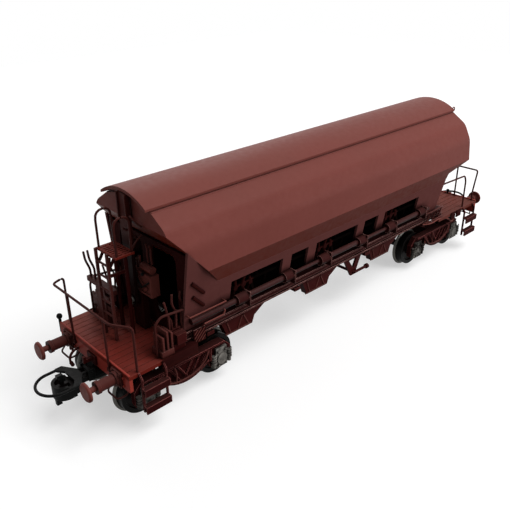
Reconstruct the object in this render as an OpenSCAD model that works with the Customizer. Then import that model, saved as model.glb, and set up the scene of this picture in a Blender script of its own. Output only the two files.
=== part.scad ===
// Model hopper car in H0 scale: a tank with a swing roof on a low underframe,
// two swivelling bogies, sprung buffers and loop couplers.
// Millimetres. +X runs from the platform end (near) to the plain end (far),
// +Y is the left side, +Z is up, and z = 0 is the foot of the wheel flanges.

/* [Overall] */
// Length over the headstocks
frame_length = 137.2; // [134:0.2:140]
// Reach of the buffer faces from the headstocks
buffer_reach = 7.9; // [6.9:0.1:9.4]
// Width of the decks and headstocks
deck_width = 28.8; // [28:0.2:30]
// Height of the deck top above the spine's underside
deck_rise = 4; // [3.8:0.1:4.8]
// Thickness of the decks
deck_thickness = 0.9; // [0.6:0.1:1.2]
// Number of planks across a deck
plank_count = 16; // [10:1:20]
// Reach of the near deck under the side walls
deck_near_lap = 1.8; // [1.2:0.1:2.8]
// Reach of the far deck under the side walls
deck_far_lap = 0.5; // [0.1:0.1:2.5]

/* [Tank] */
// Distance from the near headstock to the tank's near end
tank_near_set = 12.6; // [11.6:0.1:13.6]
// Distance from the far headstock to the tank's far end
tank_far_set = 11; // [10:0.1:12]
// Half width of the top opening's edge
rim_half = 8.06; // [7:0.02:9]
// Drop from the roof's crown to the top opening's edge
rim_drop = 3.3; // [2.3:0.1:3.7]
// Half width at the shoulder
shoulder_half = 12.58; // [12:0.02:13]
// Drop from the roof's crown to the shoulder
shoulder_drop = 6.2; // [5.7:0.1:6.7]
// Half width at the haunch
haunch_half = 14.85; // [14.4:0.05:15.2]
// Drop from the roof's crown to the haunch
haunch_drop = 10.6; // [9.7:0.1:11.7]
// Reach of the side's lower edge past the tank's foot
belly_flare = 1.6; // [1.1:0.1:2.1]
// Height of the lower edge of the side above the tank's foot
belly_rise = 4.25; // [3.5:0.05:5.5]
// Reach of the tank's foot past the foot of the side walls
foot_flare = 1.7; // [1.2:0.1:2.2]
// Height of the tank's foot above the decks
foot_rise = 12.7; // [11.7:0.1:13.7]
// Thickness of the tank walls
tank_wall = 0.8; // [0.5:0.1:1.2]
// Drop from the roof's crown to where the near end starts to slope inwards
near_slope_drop = 7.3; // [6.7:0.1:8.3]
// Inward run of the near slope for each millimetre down
near_slope = 0.87; // [0.8:0.01:0.92]
// Inward run of the far slope
far_slope_run = 9.6; // [9:0.1:10.4]
// Drop of the far slope
far_slope_drop = 2.35; // [1.8:0.05:3]
// Rounding of the tank's shoulder and haunch
ridge_round = 1.2; // [0.6:0.1:2.2]

/* [Roof] */
// Height of the roof's crown
roof_top = 48.7; // [48.4:0.1:49.6]
// Thickness of the roof sheet
roof_sheet = 0.7; // [0.4:0.1:0.9]
// Depth of the roof's edge
roof_edge = 0.54; // [0.4:0.02:0.9]
// Thickness of the roof's end plates
roof_end = 0.8; // [0.5:0.1:1.2]
// Overhang of the roof past the near end of the tank
roof_overhang = 1.2; // [0.8:0.1:1.4]
// Height of the roof's swing axis above the decks
swing_rise = 7.7; // [7.2:0.1:8.2]
// Clearance between the roof and the tank all round
roof_gap = 0.3; // [0.2:0.05:0.5]
// Thickness of the roof arms
arm_thick = 0.8; // [0.6:0.1:1]
// Width of a roof arm at the roof
arm_width = 3.4; // [2.8:0.1:4]
// Diameter of the roof pins
roof_pin_d = 1.2; // [1:0.1:1.4]

/* [Lower body] */
// Distance from a deck's side in to the foot of a side wall
wall_set = 2.2; // [1.8:0.1:2.4]
// Thickness of the lower walls
wall_thick = 0.7; // [0.5:0.1:0.9]
// Distance from the tank's near end to the near edge of the side walls
wall_near_set = 3.2; // [2.8:0.1:3.6]
// Distance from the tank's far end to the far edge of the side walls at the sills
wall_far_set = 11.1; // [10.6:0.1:11.2]
// Distance from the near edge of the side walls to the first window
bay_near_margin = 13.1; // [12.5:0.1:13.8]
// Distance from the last window to the far edge of the side walls
bay_far_margin = 12.2; // [11.6:0.1:12.9]
// Width of the large windows
large_window = 16.6; // [15:0.1:17.4]
// Share of the space between large windows that a small window takes
small_window_share = 0.504; // [0.4:0.002:0.58]
// Height of the small windows' lower edge above the sills
window_rise = 1.1; // [0.7:0.1:1.6]
// Height of the large windows' lower edge above the sills
bay_rise = 0.3; // [0.2:0.1:0.9]
// Drop from the tank's foot to the windows' upper edge
window_drop = 2.1; // [1.7:0.1:2.9]
// Diameter of the discharge tubes
tube_d = 1.4; // [1:0.1:1.5]
// Diameter of the links between the tubes
link_d = 0.9; // [0.6:0.1:1.2]
// Diameter of the hubs that hold the tubes
hub_d = 2.6; // [2.1:0.1:2.9]
// Height of the discharge tubes above the sills
tube_rise = 2.5; // [2.2:0.1:3.1]

/* [Underframe] */
// Height of the side sills
sill_height = 2.7; // [2.4:0.1:3.1]
// Reach of the side sills past the foot of the side walls
sill_reach = 0.7; // [0.6:0.1:1.1]
// Depth of the side sills
sill_depth = 2; // [1.6:0.1:2.4]
// Thickness of the sill's web and flanges
sill_sheet = 0.5; // [0.4:0.1:0.7]
// Height of the spine's underside above the axles
spine_rise = 4.9; // [4.8:0.1:5.3]
// Width of the spine
spine_width = 6; // [5:0.1:7]
// Drop of the headstocks below the decks
headstock_drop = 3.1; // [2.5:0.1:3.3]
// Thickness of the headstocks
headstock_thick = 0.8; // [0.6:0.1:0.9]
// Drop from the deck top to the chutes' mouths
chute_drop = 4.1; // [2.9:0.1:4.1]
// Width of a chute along the car at its top
chute_width = 14.2; // [12.6:0.1:14.6]

/* [Bogies] */
// Distance from the near headstock to the near bogie's pivot
near_overhang = 15.6; // [15.1:0.1:16.1]
// Distance from the far headstock to the far bogie's pivot
far_overhang = 19.6; // [19.1:0.1:20.1]
// Distance between a bogie's axles
wheelbase = 20.7; // [20.4:0.1:21]
// Reach of a bogie's side frames past its axles
horn_reach = 3.05; // [2.95:0.05:3.35]
// Height of a bogie's side frames above the axles
bogie_rise = 4.5; // [4.1:0.1:4.6]
// Drop of a bogie's bellied side frames below the axles
belly_drop = 1.1; // [0.5:0.1:1.4]
// Thickness of a bogie's side plates
side_plate = 1.4; // [1.2:0.1:1.6]
// Thickness of the axle-box covers
box_thick = 1; // [0.7:0.1:1.2]
// Diameter of the bogie screws
screw_d = 1.9; // [1.6:0.1:2.2]

/* [Wheels] */
// Diameter of the wheel treads
tread_d = 10.2; // [10:0.1:10.4]
// Height of the wheel flanges
flange_height = 0.8; // [0.7:0.05:0.9]
// Distance between the wheel backs
back_to_back = 14.4; // [14.2:0.1:14.6]
// Width of a wheel
wheel_width = 2.8; // [2.6:0.1:2.9]
// Diameter of an axle
axle_d = 2; // [1.6:0.1:2.2]
// Diameter of an axle's journals
journal_d = 1; // [0.8:0.1:1.2]

/* [Buffers] */
// Distance between a pair of buffers
buffer_spacing = 20.1; // [19.6:0.1:20.6]
// Drop from the deck top to the middle of the buffers
buffer_drop = 2.1; // [1.8:0.1:2.2]
// Diameter of the buffer heads
head_d = 4.3; // [3.8:0.1:5]
// Diameter of the buffer shanks
shank_d = 1.3; // [1.1:0.1:1.5]
// Diameter of the buffer sleeves
sleeve_d = 2.5; // [2.3:0.1:2.8]
// Length of the buffer sleeves
sleeve_length = 4.9; // [4.6:0.1:5.2]
// Travel of the buffer heads
buffer_travel = 1; // [0.6:0.1:1.2]

/* [Couplers] */
// Distance from a headstock in to its coupler pin
coupler_inset = 5.1; // [4.8:0.1:5.6]
// Drop from the spine's underside to the middle of the coupler shanks
coupler_drop = 1.8; // [1.7:0.1:1.9]
// Thickness of the coupler shanks
coupler_thick = 1.2; // [1:0.1:1.3]
// Reach of a coupler loop from the headstock
loop_reach = 13.8; // [13:0.1:15]
// Width of a coupler loop
loop_width = 8.8; // [8:0.1:9.4]

/* [Fittings] */
// Diameter of the rails
rail_d = 0.55; // [0.4:0.05:0.7]
// Height of the end rails above the decks
rail_rise = 10.6; // [9.2:0.1:12.2]
// Height of the upper platform above the decks
platform_rise = 21.2; // [20.2:0.1:22.2]
// Distance between the ladder's rungs
rung_pitch = 3.1; // [2.8:0.1:3.3]
// Drop from the deck top to the lower step treads
step_drop = 8.3; // [7.8:0.1:8.8]
// Clearance of shafts that turn or slide
running_fit = 0.05; // [0.03:0.01:0.08]
// Clearance of pieces that are set in a bore
set_fit = 0.02; // [0.01:0.01:0.04]

/* [Hidden] */
$fn = 48;

// Colours, as the painted model shows them
body_red = "#7a3630";
frame_brown = "#4c2420";
deck_brown = "#6b332b";
steel = "#6d6d6a";
coupler_grey = "#33383a";

// A small overlap that makes a cut pass clean through
cut = 0.1;

// Heights, from the wheels up
flange_r = tread_d / 2 + flange_height;
axle_z = flange_r;
bogie_top = axle_z + bogie_rise;
spine_low = axle_z + spine_rise;
deck_top = spine_low + deck_rise;
deck_low = deck_top - deck_thickness;
headstock_low = deck_low - headstock_drop;
sill_top = deck_top + sill_height;
foot_z = deck_top + foot_rise;
belly_z = foot_z + belly_rise;
window_low = sill_top + window_rise;
window_high = foot_z - window_drop;
tube_z = sill_top + tube_rise;
swing_z = deck_top + swing_rise;
rail_z = deck_top + rail_rise;
platform_z = deck_top + platform_rise;
step_low = deck_top - step_drop;
chute_low = deck_top - chute_drop;
buffer_z = deck_top - buffer_drop;
coupler_z = spine_low - coupler_drop;

// Heights, from the roof's crown down
rim_z = roof_top - rim_drop;
shoulder_z = roof_top - shoulder_drop;
haunch_z = roof_top - haunch_drop;
near_slope_z = roof_top - near_slope_drop;

// Places along and across the car, from the headstocks in
frame_half = frame_length / 2;
headstock_back = frame_half - headstock_thick;
tank_near = tank_near_set - frame_half;
tank_far = frame_half - tank_far_set;
tank_foot_far = tank_far - far_slope_run;
wall_near = tank_near + wall_near_set;
wall_far = tank_far - wall_far_set;
deck_near_edge = wall_near + deck_near_lap;
deck_far_edge = wall_far - deck_far_lap;
deck_half = deck_width / 2;
wall_foot_half = deck_half - wall_set;
foot_half = wall_foot_half + foot_flare;
belly_half = foot_half + belly_flare;
bay_near = wall_near + bay_near_margin;
bay_far = wall_far - bay_far_margin;
bay_middle = (bay_near + bay_far) / 2;
bay_pitch = (bay_far - bay_near - large_window) / 2;
bay_gap = bay_pitch - large_window;
small_window = bay_gap * small_window_share;
bay_x = [for (i = [-1:1]) bay_middle + i * bay_pitch];
sill_half = wall_foot_half + sill_reach;
sill_in = sill_half - sill_depth;
wall_lean = (foot_half - wall_foot_half) / (foot_z - sill_top);
far_lean = (tank_foot_far - wall_far) / (foot_z - sill_top);
function far_edge(z) = wall_far + (z - sill_top) * far_lean;
function wall_out(z) = wall_foot_half + wall_lean * (z - sill_top);
function wall_in(z) = wall_out(z) - wall_thick;
function near_slope_x(z) = tank_near + (near_slope_z - z) * near_slope;
function near_slope_height(x) = near_slope_z - (x - tank_near) / near_slope;

// Running gear
bogie_x = [near_overhang - frame_half, frame_half - far_overhang];
wheel_back = back_to_back / 2;
wheel_face = wheel_back + wheel_width;
flange_width = 0.8;
wheel_side_gap = 0.6;
plate_in = wheel_face + wheel_side_gap;
plate_out = plate_in + side_plate;
box_out = plate_out + box_thick;
journal_end_gap = 0.2;
swivel_gap = 0.05;

// Side frame outline
frame_mid_low = axle_z - belly_drop;
box_drop = 2.2;
box_low = axle_z - box_drop;
box_half = 2.8;
frame_rim = 0.5;
rim_reach = 0.8;
rim_out = plate_out + rim_reach;
transom_half = 2.6;
transom_rise = 1.7;
transom_low = axle_z + transom_rise;

// Roof and its swing
rim_r = norm([rim_half, rim_z - swing_z]);
swing_r = rim_r + roof_gap;
roof_lap = 0.24;
roof_half = rim_half + roof_lap;
roof_near = tank_near - roof_overhang;
roof_edge_low = swing_z + sqrt(swing_r * swing_r - roof_half * roof_half);
roof_edge_top = roof_edge_low + roof_edge;
roof_rise = roof_top - roof_edge_top;
roof_r = (roof_half * roof_half + roof_rise * roof_rise) / (2 * roof_rise);
arm_gap = 0.4;
arm_eye = 1.6;
arm_foot = 2.4;
arm_rib = 0.4;
pin_head_d = 2.2;
pin_head = 0.4;
pin_end_gap = 0.15;
stand_depth = 1.6;
stand_width = 4;
stand_rise = 1.9;
stand_top = swing_z + stand_rise;
stand_gap = 0.5;
pin_set = 1;

// Lower body
saddle_half = 6.6;
saddle_knee_rise = 2.8;
saddle_knee = deck_top + saddle_knee_rise;
saddle_rise = 2;
saddle_top = foot_z + saddle_rise;
saddle_sheet = 0.7;
saddle_far = far_edge(deck_top) - wall_thick;
end_wall_set = 0.4;
wall_end = wall_near + end_wall_set;
shaft_d = 0.8;
shaft_set = 0.6;
shaft_y = wall_foot_half - shaft_set;
shaft_rise = 0.6;
shaft_z = (window_low + window_high) / 2 + shaft_rise;
tube_gap = 0.1;
tube_y = wall_out(tube_z) + tube_d / 2 + tube_gap;
hub_set = 1.2;
hub_length = 3.2;
hub_inset = 0.1;
hub_near = hub_set - large_window / 2;
hub_span = [[hub_near, hub_near + hub_length],
    [large_window / 2 + hub_inset, (bay_pitch - small_window) / 2 - hub_inset]];
chute_set = 0.8;
bearer_half = 1;
bearer_near_set = 7.05;
bearer_far_set = 6.15;
bearer_x = [wall_near + bearer_near_set, bay_middle - bay_pitch / 2, bay_middle + bay_pitch / 2,
    wall_far - bearer_far_set];

// Near end fittings
platform_out = 6.6;
platform_near = tank_near - platform_out;
platform_gap = 2;
platform_far = tank_near - platform_gap;
platform_right = -4.2;
platform_left = 3.5;
platform_thick = 0.5;
ladder_right = -1.2;
ladder_left = 3.2;
post_set = 2.6;
post_x = tank_near - post_set;
post_d = 0.9;
rail_set = 2.4;
rail_post_x = rail_set - frame_half;
rail_front_x = -frame_half - rail_d / 2;
rail_inset = 0.5;
rail_side = deck_half - rail_inset;
gear_out = 0.6;
gear_front = tank_near - gear_out;
gear_length = 3;
gear_back = gear_front + gear_length;
gear_base = 1.8;
gear_plate = 0.7;
gear_plate_set = 2.8;
gear_plate_rise = 4.6;
stand_out = 5.4;
brake_front = tank_near - stand_out;
brake_depth = 1.8;
brake_back = brake_front + brake_depth;
brake_rise = 10.4;
brake_top = deck_top + brake_rise;

// Buffers and couplers
buffer_y = buffer_spacing / 2;
buffer_face = frame_half + buffer_reach;
base_plate = 0.5;
base_size = 3.6;
head_thick = 0.7;
sleeve_front = frame_half + base_plate + sleeve_length;
bore_back = frame_half + base_plate;
spring_length = 0.7;
spring_gap = 0.1;
shank_back = bore_back + spring_length + buffer_travel + spring_gap;
pin_x = frame_half - coupler_inset;
coupler_pin_d = 1.2;
coupler_low = coupler_z - coupler_thick / 2;
coupler_high = coupler_z + coupler_thick / 2;
coupler_gap = 0.3;
pocket_plate = spine_low - coupler_high - coupler_gap;
loop_tip = frame_half + loop_reach;
loop_thick = 0.6;
loop_rise = 0.8;
loop_z = coupler_high + loop_rise;
loop_pin_set = 1.8;
loop_pin_x = frame_half + loop_pin_set;
loop_pin_d = 0.6;
loop_bar = 0.65;

// Helpers

module block(x0, x1, y0, y1, z0, z1) {
    translate([x0, y0, z0]) cube([x1 - x0, y1 - y0, z1 - z0]);
}

// Extrudes an outline drawn in X and Z from y0 to y1
module across(y0, y1) {
    translate([0, y1, 0]) rotate([90, 0, 0]) linear_extrude(y1 - y0) children();
}

// Extrudes an outline drawn in Y and Z from x0 to x1
module along(x0, x1) {
    translate([x0, 0, 0]) rotate([90, 0, 90]) linear_extrude(x1 - x0) children();
}

module rod_x(x0, x1, y, z, d) {
    translate([x0, y, z]) rotate([0, 90, 0]) cylinder(d = d, h = x1 - x0);
}

module rod_y(y0, y1, x, z, d) {
    translate([x, y0, z]) rotate([-90, 0, 0]) cylinder(d = d, h = y1 - y0);
}

module rod_z(z0, z1, x, y, d) {
    translate([x, y, z0]) cylinder(d = d, h = z1 - z0);
}

module both_sides() {
    children();
    mirror([0, 1, 0]) children();
}

module both_ends() {
    children();
    mirror([1, 0, 0]) children();
}

function unit(v) = v / norm(v);

// A corner of a route, rounded from bend before it to bend after it
function corner(a, b, c, bend, steps) =
    let (from = b + bend * unit(a - b), to = b + bend * unit(c - b))
    [for (k = [0:steps]) let (t = k / steps)
        (1 - t) * (1 - t) * from + 2 * t * (1 - t) * b + t * t * to];

function smooth(route, bend, steps) = [
    route[0],
    for (i = [1:1:len(route) - 2]) each corner(route[i - 1], route[i], route[i + 1], bend, steps),
    route[len(route) - 1]
];

// A round wire along a route. The normal is a direction that no stretch follows.
module wire(route, d, normal, bend = 1, sides = 8, steps = 4) {
    path = smooth(route, bend, steps);
    last = len(path) - 1;
    rings = [for (i = [0:last])
        let (
            heading = unit(path[min(i + 1, last)] - path[max(i - 1, 0)]),
            side = unit(cross(normal, heading)),
            rise = cross(heading, side)
        )
        for (k = [0:sides - 1])
            path[i] + d / 2 * (cos(360 * k / sides) * side + sin(360 * k / sides) * rise)];
    walls = [for (i = [0:last - 1]) for (k = [0:sides - 1])
        let (
            a = i * sides + k,
            b = i * sides + (k + 1) % sides
        )
        each [[a, a + sides, b], [b, a + sides, b + sides]]];
    caps = [for (k = [1:sides - 2])
        each [[0, k, k + 1], [last * sides, last * sides + k + 1, last * sides + k]]];
    polyhedron(points = rings, faces = concat(walls, caps), convexity = 8);
}

// Rounded rectangle from one corner to the other
module soft_rect(a, b, r) {
    translate([a[0] + r, a[1]]) square([b[0] - a[0] - 2 * r, b[1] - a[1]]);
    translate([a[0], a[1] + r]) square([b[0] - a[0], b[1] - a[1] - 2 * r]);
    for (x = [a[0] + r, b[0] - r], y = [a[1] + r, b[1] - r]) translate([x, y]) circle(r);
}

// Tank

// One side of the tank's cross-section, with its ridges rounded
function tank_half(inset) =
    let (
        top = inset > 0 ? rim_z + cut : rim_z,
        low = inset > 0 ? foot_z - cut : foot_z,
        rim = [rim_half - inset, rim_z - inset * 0.6],
        shoulder = [shoulder_half - inset, shoulder_z - inset * 0.7],
        haunch = [haunch_half - inset, haunch_z - inset * 0.3],
        belly = [belly_half - inset, belly_z],
        foot = [foot_half - inset * 1.15, low]
    )
    [[rim_half - inset, top], rim,
        each corner(rim, shoulder, haunch, ridge_round, 4),
        each corner(shoulder, haunch, belly, ridge_round, 4),
        belly, foot];

module tank_section(inset) {
    half = tank_half(inset);
    points = inset > 0 ? half : [for (i = [1:len(half) - 1]) half[i]];
    polygon([each points, for (i = [len(points) - 1:-1:0]) [-points[i][0], points[i][1]]]);
}

module tank_side(inset) {
    steep = inset * 1.3;
    top = inset > 0 ? rim_z + cut : rim_z;
    low = inset > 0 ? foot_z - cut : foot_z;
    polygon([
        [tank_near + inset, top],
        [tank_far - inset, top],
        [tank_far - inset, belly_z + inset * 0.9],
        [tank_foot_far - inset, belly_z - far_slope_drop + inset],
        [tank_foot_far - inset, low],
        [near_slope_x(low) + steep, low],
        [tank_near + inset, near_slope_z + inset * 0.4]
    ]);
}

module tank_solid(inset) {
    intersection() {
        along(tank_near - cut, tank_far + cut) tank_section(inset);
        across(-belly_half - cut, belly_half + cut) tank_side(inset);
    }
}

// The rounded top of an end wall, which follows the roof's swing
module end_crest(x) {
    along(x, x + tank_wall) intersection() {
        translate([0, swing_z]) circle(rim_r, $fn = 96);
        translate([-rim_half, rim_z]) square([2 * rim_half, rim_r]);
    }
}

module hopper_tank() {
    color(body_red) {
        difference() {
            tank_solid(0);
            tank_solid(tank_wall);
        }
        end_crest(tank_near);
        end_crest(tank_far - tank_wall);
    }
}

module saddle_floor() {
    inner_half = saddle_half - saddle_sheet;
    inner_top = saddle_top - 2 * saddle_sheet;
    near_end = wall_end + wall_thick;
    slope_gap = 0.1;
    slope_sheet = 1.3 * tank_wall + slope_gap;
    color(frame_brown) difference() {
        along(near_end, saddle_far) difference() {
            polygon([[-saddle_half, deck_top], [saddle_half, deck_top], [saddle_half, saddle_knee],
                [0, saddle_top], [-saddle_half, saddle_knee]]);
            polygon([[-inner_half, deck_top - cut], [inner_half, deck_top - cut], [inner_half, saddle_knee],
                [0, inner_top], [-inner_half, saddle_knee]]);
        }
        across(-saddle_half, saddle_half) polygon([
            [near_end - cut, foot_z - slope_gap], [near_slope_x(foot_z) + slope_sheet, foot_z - slope_gap],
            [near_slope_x(saddle_top) + slope_sheet, saddle_top + cut], [near_end - cut, saddle_top + cut]]);
    }
}

// Lower body

module wall_outline() {
    polygon([[wall_near, sill_top], [wall_far, sill_top], [tank_foot_far, foot_z],
        [near_slope_x(foot_z), foot_z], [wall_near, near_slope_height(wall_near)]]);
}

module windows() {
    bay_low = sill_top + bay_rise;
    for (x = bay_x)
        translate([x - large_window / 2, bay_low]) square([large_window, window_high - bay_low]);
    for (i = [-0.5, 0.5])
        translate([bay_middle + i * bay_pitch - small_window / 2, window_low])
            square([small_window, window_high - window_low]);
}

module side_wall() {
    gusset_top = near_slope_height(wall_near);
    intersection() {
        along(wall_near, tank_foot_far)
            polygon([[wall_in(sill_top), sill_top], [wall_out(sill_top), sill_top],
                [wall_out(gusset_top), gusset_top], [wall_in(gusset_top), gusset_top]]);
        across(0, belly_half + foot_half) difference() {
            wall_outline();
            windows();
        }
    }
}

module side_wall_left() { color(body_red) side_wall(); }
module side_wall_right() { color(body_red) mirror([0, 1, 0]) side_wall(); }

module end_wall_outline(top) {
    polygon([[-sill_in, deck_top], [sill_in, deck_top], [sill_in, sill_top],
        [wall_in(sill_top), sill_top], [wall_in(top), top],
        [-wall_in(top), top], [-wall_in(sill_top), sill_top], [-sill_in, sill_top]]);
}

module end_wall_near() {
    tank_gap = 0.05;
    top = near_slope_height(wall_end + wall_thick) - tank_gap;
    post_half = 1.6;
    opening_set = 1.6;
    opening_half = wall_foot_half - opening_set;
    opening_rise = 0.4;
    opening_drop = 1.2;
    opening_round = 2;
    color(frame_brown) along(wall_end, wall_end + wall_thick) difference() {
        end_wall_outline(top);
        for (s = [0, 1]) mirror([s, 0])
            soft_rect([post_half, sill_top + opening_rise], [opening_half, top - opening_drop],
                opening_round);
    }
}

module end_wall_far() {
    low_x = far_edge(deck_top);
    color(body_red) intersection() {
        along(low_x - 2 * wall_thick, tank_foot_far) end_wall_outline(foot_z);
        across(-belly_half, belly_half) polygon([[low_x - wall_thick, deck_top], [low_x, deck_top],
            [tank_foot_far, foot_z], [tank_foot_far - wall_thick, foot_z]]);
    }
}

// A chute's outline: its near edge is steep, its far edge slants out above a knee
module chute_outline(inset) {
    near_run = 1.8;
    far_run = 4.4;
    knee_run = 0.8;
    knee_rise = 2;
    over = inset > 0 ? cut : 0;
    half = chute_width / 2 - inset;
    polygon([[-half + near_run, chute_low - over], [half - far_run, chute_low - over],
        [half - far_run + knee_run, chute_low + knee_rise], [half, deck_top - inset],
        [-half, deck_top - inset]]);
}

module chutes() {
    inner_set = 2.7;
    inner = sill_half - inner_set;
    outer = sill_half - chute_set;
    sheet = 0.4;
    pitch = 0.963 * bay_pitch;
    offset_x = -0.159 * bay_pitch;
    color(body_red) both_sides() for (i = [-1:1])
        translate([bay_middle + i * pitch + offset_x, 0, 0]) difference() {
            across(inner, outer) chute_outline(0);
            across(inner + sheet, outer - sheet) chute_outline(sheet);
        }
}

module ballast_weight() {
    near_set = 8.8;
    far_set = 8.5;
    half = 4.6;
    height = 3.4;
    color(steel) block(wall_near + near_set, wall_far - far_set, -half, half, deck_top, deck_top + height);
}

// A shaft behind the side windows, with cranks in each large window
module lever_shaft() {
    crank = [[-0.33, 150], [-0.21, 15], [-0.06, 200], [0.09, 40], [0.24, 165]];
    crank_length = 2.4;
    crank_width = 0.8;
    crank_thick = 0.7;
    end_gap = 0.1;
    rod_x(wall_end + wall_thick, far_edge(shaft_z) - wall_thick - end_gap, shaft_y, shaft_z, shaft_d);
    for (x = bay_x, c = crank)
        translate([x + c[0] * large_window, shaft_y, shaft_z]) rotate([c[1], 0, 0])
            block(-crank_thick / 2, crank_thick / 2, -crank_width / 2, crank_width / 2, 0, crank_length);
}

module lever_shafts() {
    color(frame_brown) both_sides() lever_shaft();
}

// Tubes under the large windows, with thinner links between them
module discharge_tubes() {
    near_set = 1.3;
    far_set = 6;
    color(body_red) both_sides() {
        rod_x(wall_near + near_set, bay_x[0] + hub_span[0][0], tube_y, tube_z, tube_d);
        for (x = bay_x) rod_x(x + hub_span[0][1], x + hub_span[1][0], tube_y, tube_z, tube_d);
        for (i = [0, 1])
            rod_x(bay_x[i] + hub_span[1][1], bay_x[i + 1] + hub_span[0][0], tube_y, tube_z, link_d);
        rod_x(bay_x[2] + hub_span[1][1], wall_far - far_set, tube_y, tube_z, link_d);
    }
}

// Hubs that hold the tubes, each flat against the wall, with a plate that stands on the sill
module tube_brackets() {
    plate = 0.5;
    out = tube_y + hub_d;
    top = tube_z + hub_d;
    color(frame_brown) both_sides() for (x = bay_x, span = hub_span) translate([x, 0, 0]) {
        intersection() {
            rod_x(span[0], span[1], tube_y, tube_z, hub_d);
            along(span[0], span[1]) polygon([[wall_out(sill_top), sill_top], [out, sill_top],
                [out, top], [wall_out(top), top]]);
        }
        along(span[1] - plate, span[1]) polygon([[wall_out(sill_top), sill_top], [sill_half, sill_top],
            [tube_y, tube_z], [wall_out(tube_z), tube_z]]);
    }
}

// Underframe

module underframe() {
    bolster_half = 3;
    bolster_reach = 10;
    bolster_drop = 1.3;
    bolster_low = deck_low - bolster_drop;
    spine_half = spine_width / 2;
    color(frame_brown) difference() {
        union() {
            block(-headstock_back, headstock_back, -spine_half, spine_half, spine_low, deck_low);
            for (x = bogie_x)
                block(x - bolster_half, x + bolster_half, -bolster_reach, bolster_reach,
                    bolster_low, deck_low);
            for (x = bearer_x)
                block(x - bearer_half, x + bearer_half, -sill_half, sill_half, deck_low, deck_top);
        }
        for (x = bogie_x)
            rod_z(spine_low - cut, deck_low + cut, x, 0, screw_d + 2 * set_fit);
    }
}

// A channel sill on a narrow foot, with a ribbed plate at its near end
module side_sill() {
    near_lap = 0.7;
    far_lap = 3.5;
    near_end = wall_near - near_lap;
    far_end = wall_far + far_lap;
    web_set = 0.35;
    web_out = sill_half - web_set;
    foot = 0.5;
    lip_low = deck_top + foot;
    lip = 0.4;
    shadow_gap = 0.3;
    web_low = lip_low + lip + shadow_gap;
    flange = 0.4;
    plate_length = 3.2;
    plate_near = deck_near_edge;
    plate_far = plate_near + plate_length;
    plate_thick = 0.4;
    plate_out = sill_half + plate_thick;
    plate_drop = 0.6;
    plate_low = deck_top - plate_drop;
    rib = 0.3;
    rib_pitch = 0.7;
    rib_deep = 0.2;
    block(near_end, far_end, sill_in, sill_half - chute_set, deck_top, lip_low);
    block(near_end, far_end, sill_in, sill_half, lip_low, lip_low + lip);
    block(near_end, far_end, sill_in, web_out - shadow_gap, lip_low + lip, web_low);
    block(near_end, far_end, web_out - sill_sheet, web_out, web_low, sill_top);
    block(near_end, far_end, sill_in, sill_half, sill_top - flange, sill_top);
    block(plate_near, plate_far, web_out, plate_out, plate_low, sill_top);
    for (i = [0:4]) {
        z = plate_low + rib + i * rib_pitch;
        block(plate_near, plate_far, plate_out, plate_out + rib_deep, z, z + rib);
    }
}

module side_sill_left() { color(body_red) side_sill(); }
module side_sill_right() { color(body_red) mirror([0, 1, 0]) side_sill(); }

module headstock() {
    notch = 2;
    notch_out = 0.6;
    difference() {
        block(-frame_half, -headstock_back, -deck_half, deck_half, headstock_low, deck_low);
        for (s = [-1, 1])
            translate([-frame_half - cut, s * (deck_half + notch_out), headstock_low - notch_out])
                rotate([45, 0, 0])
                    translate([0, -notch / 2, -notch / 2]) cube([headstock_thick + 2 * cut, notch, notch]);
    }
}

module headstock_near() { color(body_red) headstock(); }
module headstock_far() { color(body_red) mirror([1, 0, 0]) headstock(); }

// A deck from x0 to x1 with grooves between its planks
module deck(x0, x1) {
    plank = deck_width / plank_count;
    groove = 0.14;
    difference() {
        block(x0, x1, -deck_half, deck_half, deck_low, deck_top);
        for (i = [1:plank_count - 1]) {
            y = -deck_half + i * plank;
            block(x0 - cut, x1 + cut, y - groove / 2, y + groove / 2, deck_top - groove, deck_top + cut);
        }
    }
}

module deck_near() { color(deck_brown) deck(-frame_half, deck_near_edge); }
module deck_far() { color(deck_brown) deck(deck_far_edge, frame_half); }

// V hangers under the sills with a cross rod and short pull rods
module brake_rigging() {
    foot_x = bay_middle + 0.338 * bay_pitch;
    foot_half = 0.9;
    rod_drop = 4.9;
    rod_z = deck_top - rod_drop;
    rod_d = 0.8;
    pull_rod = 5.6;
    pull_end_half = 0.4;
    pull_end_d = 1.4;
    hanger_set = 0.3;
    hanger_thick = 0.6;
    hanger_in = sill_in + hanger_set;
    hanger_out = hanger_in + hanger_thick;
    near_run = 4.2;
    bearer_gap = 0.15;
    far_x = bearer_x[2] - bearer_half - bearer_gap;
    strap = 0.8;
    leg = 2.2;
    eye_rise = 1.2;
    color(frame_brown) {
        both_sides() {
            difference() {
                across(hanger_in, hanger_out)
                    polygon([[foot_x - near_run, deck_top], [far_x, deck_top],
                        [foot_x + foot_half, rod_z - foot_half], [foot_x - foot_half, rod_z - foot_half]]);
                across(hanger_in - cut, hanger_out + cut)
                    polygon([[foot_x - near_run + leg, deck_top - strap], [far_x - leg, deck_top - strap],
                        [foot_x, rod_z + eye_rise]]);
            }
            rod_x(foot_x, foot_x + pull_rod, hanger_out + rod_d / 2, rod_z, rod_d);
            rod_x(foot_x + pull_rod - pull_end_half, foot_x + pull_rod + pull_end_half,
                hanger_out + rod_d / 2, rod_z, pull_end_d);
        }
        rod_y(-hanger_out - rod_d / 2, hanger_out + rod_d / 2, foot_x, rod_z, rod_d);
    }
}

// Roof and its stands

module roof_outline(drop) {
    translate([0, roof_top - roof_r]) circle(roof_r - drop, $fn = 96);
}

// The sector of the roof above the swing circle
module roof_section(drop) {
    intersection() {
        roof_outline(drop);
        translate([-roof_half, roof_edge_low - roof_edge]) square([2 * roof_half, roof_top]);
    }
}

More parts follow.
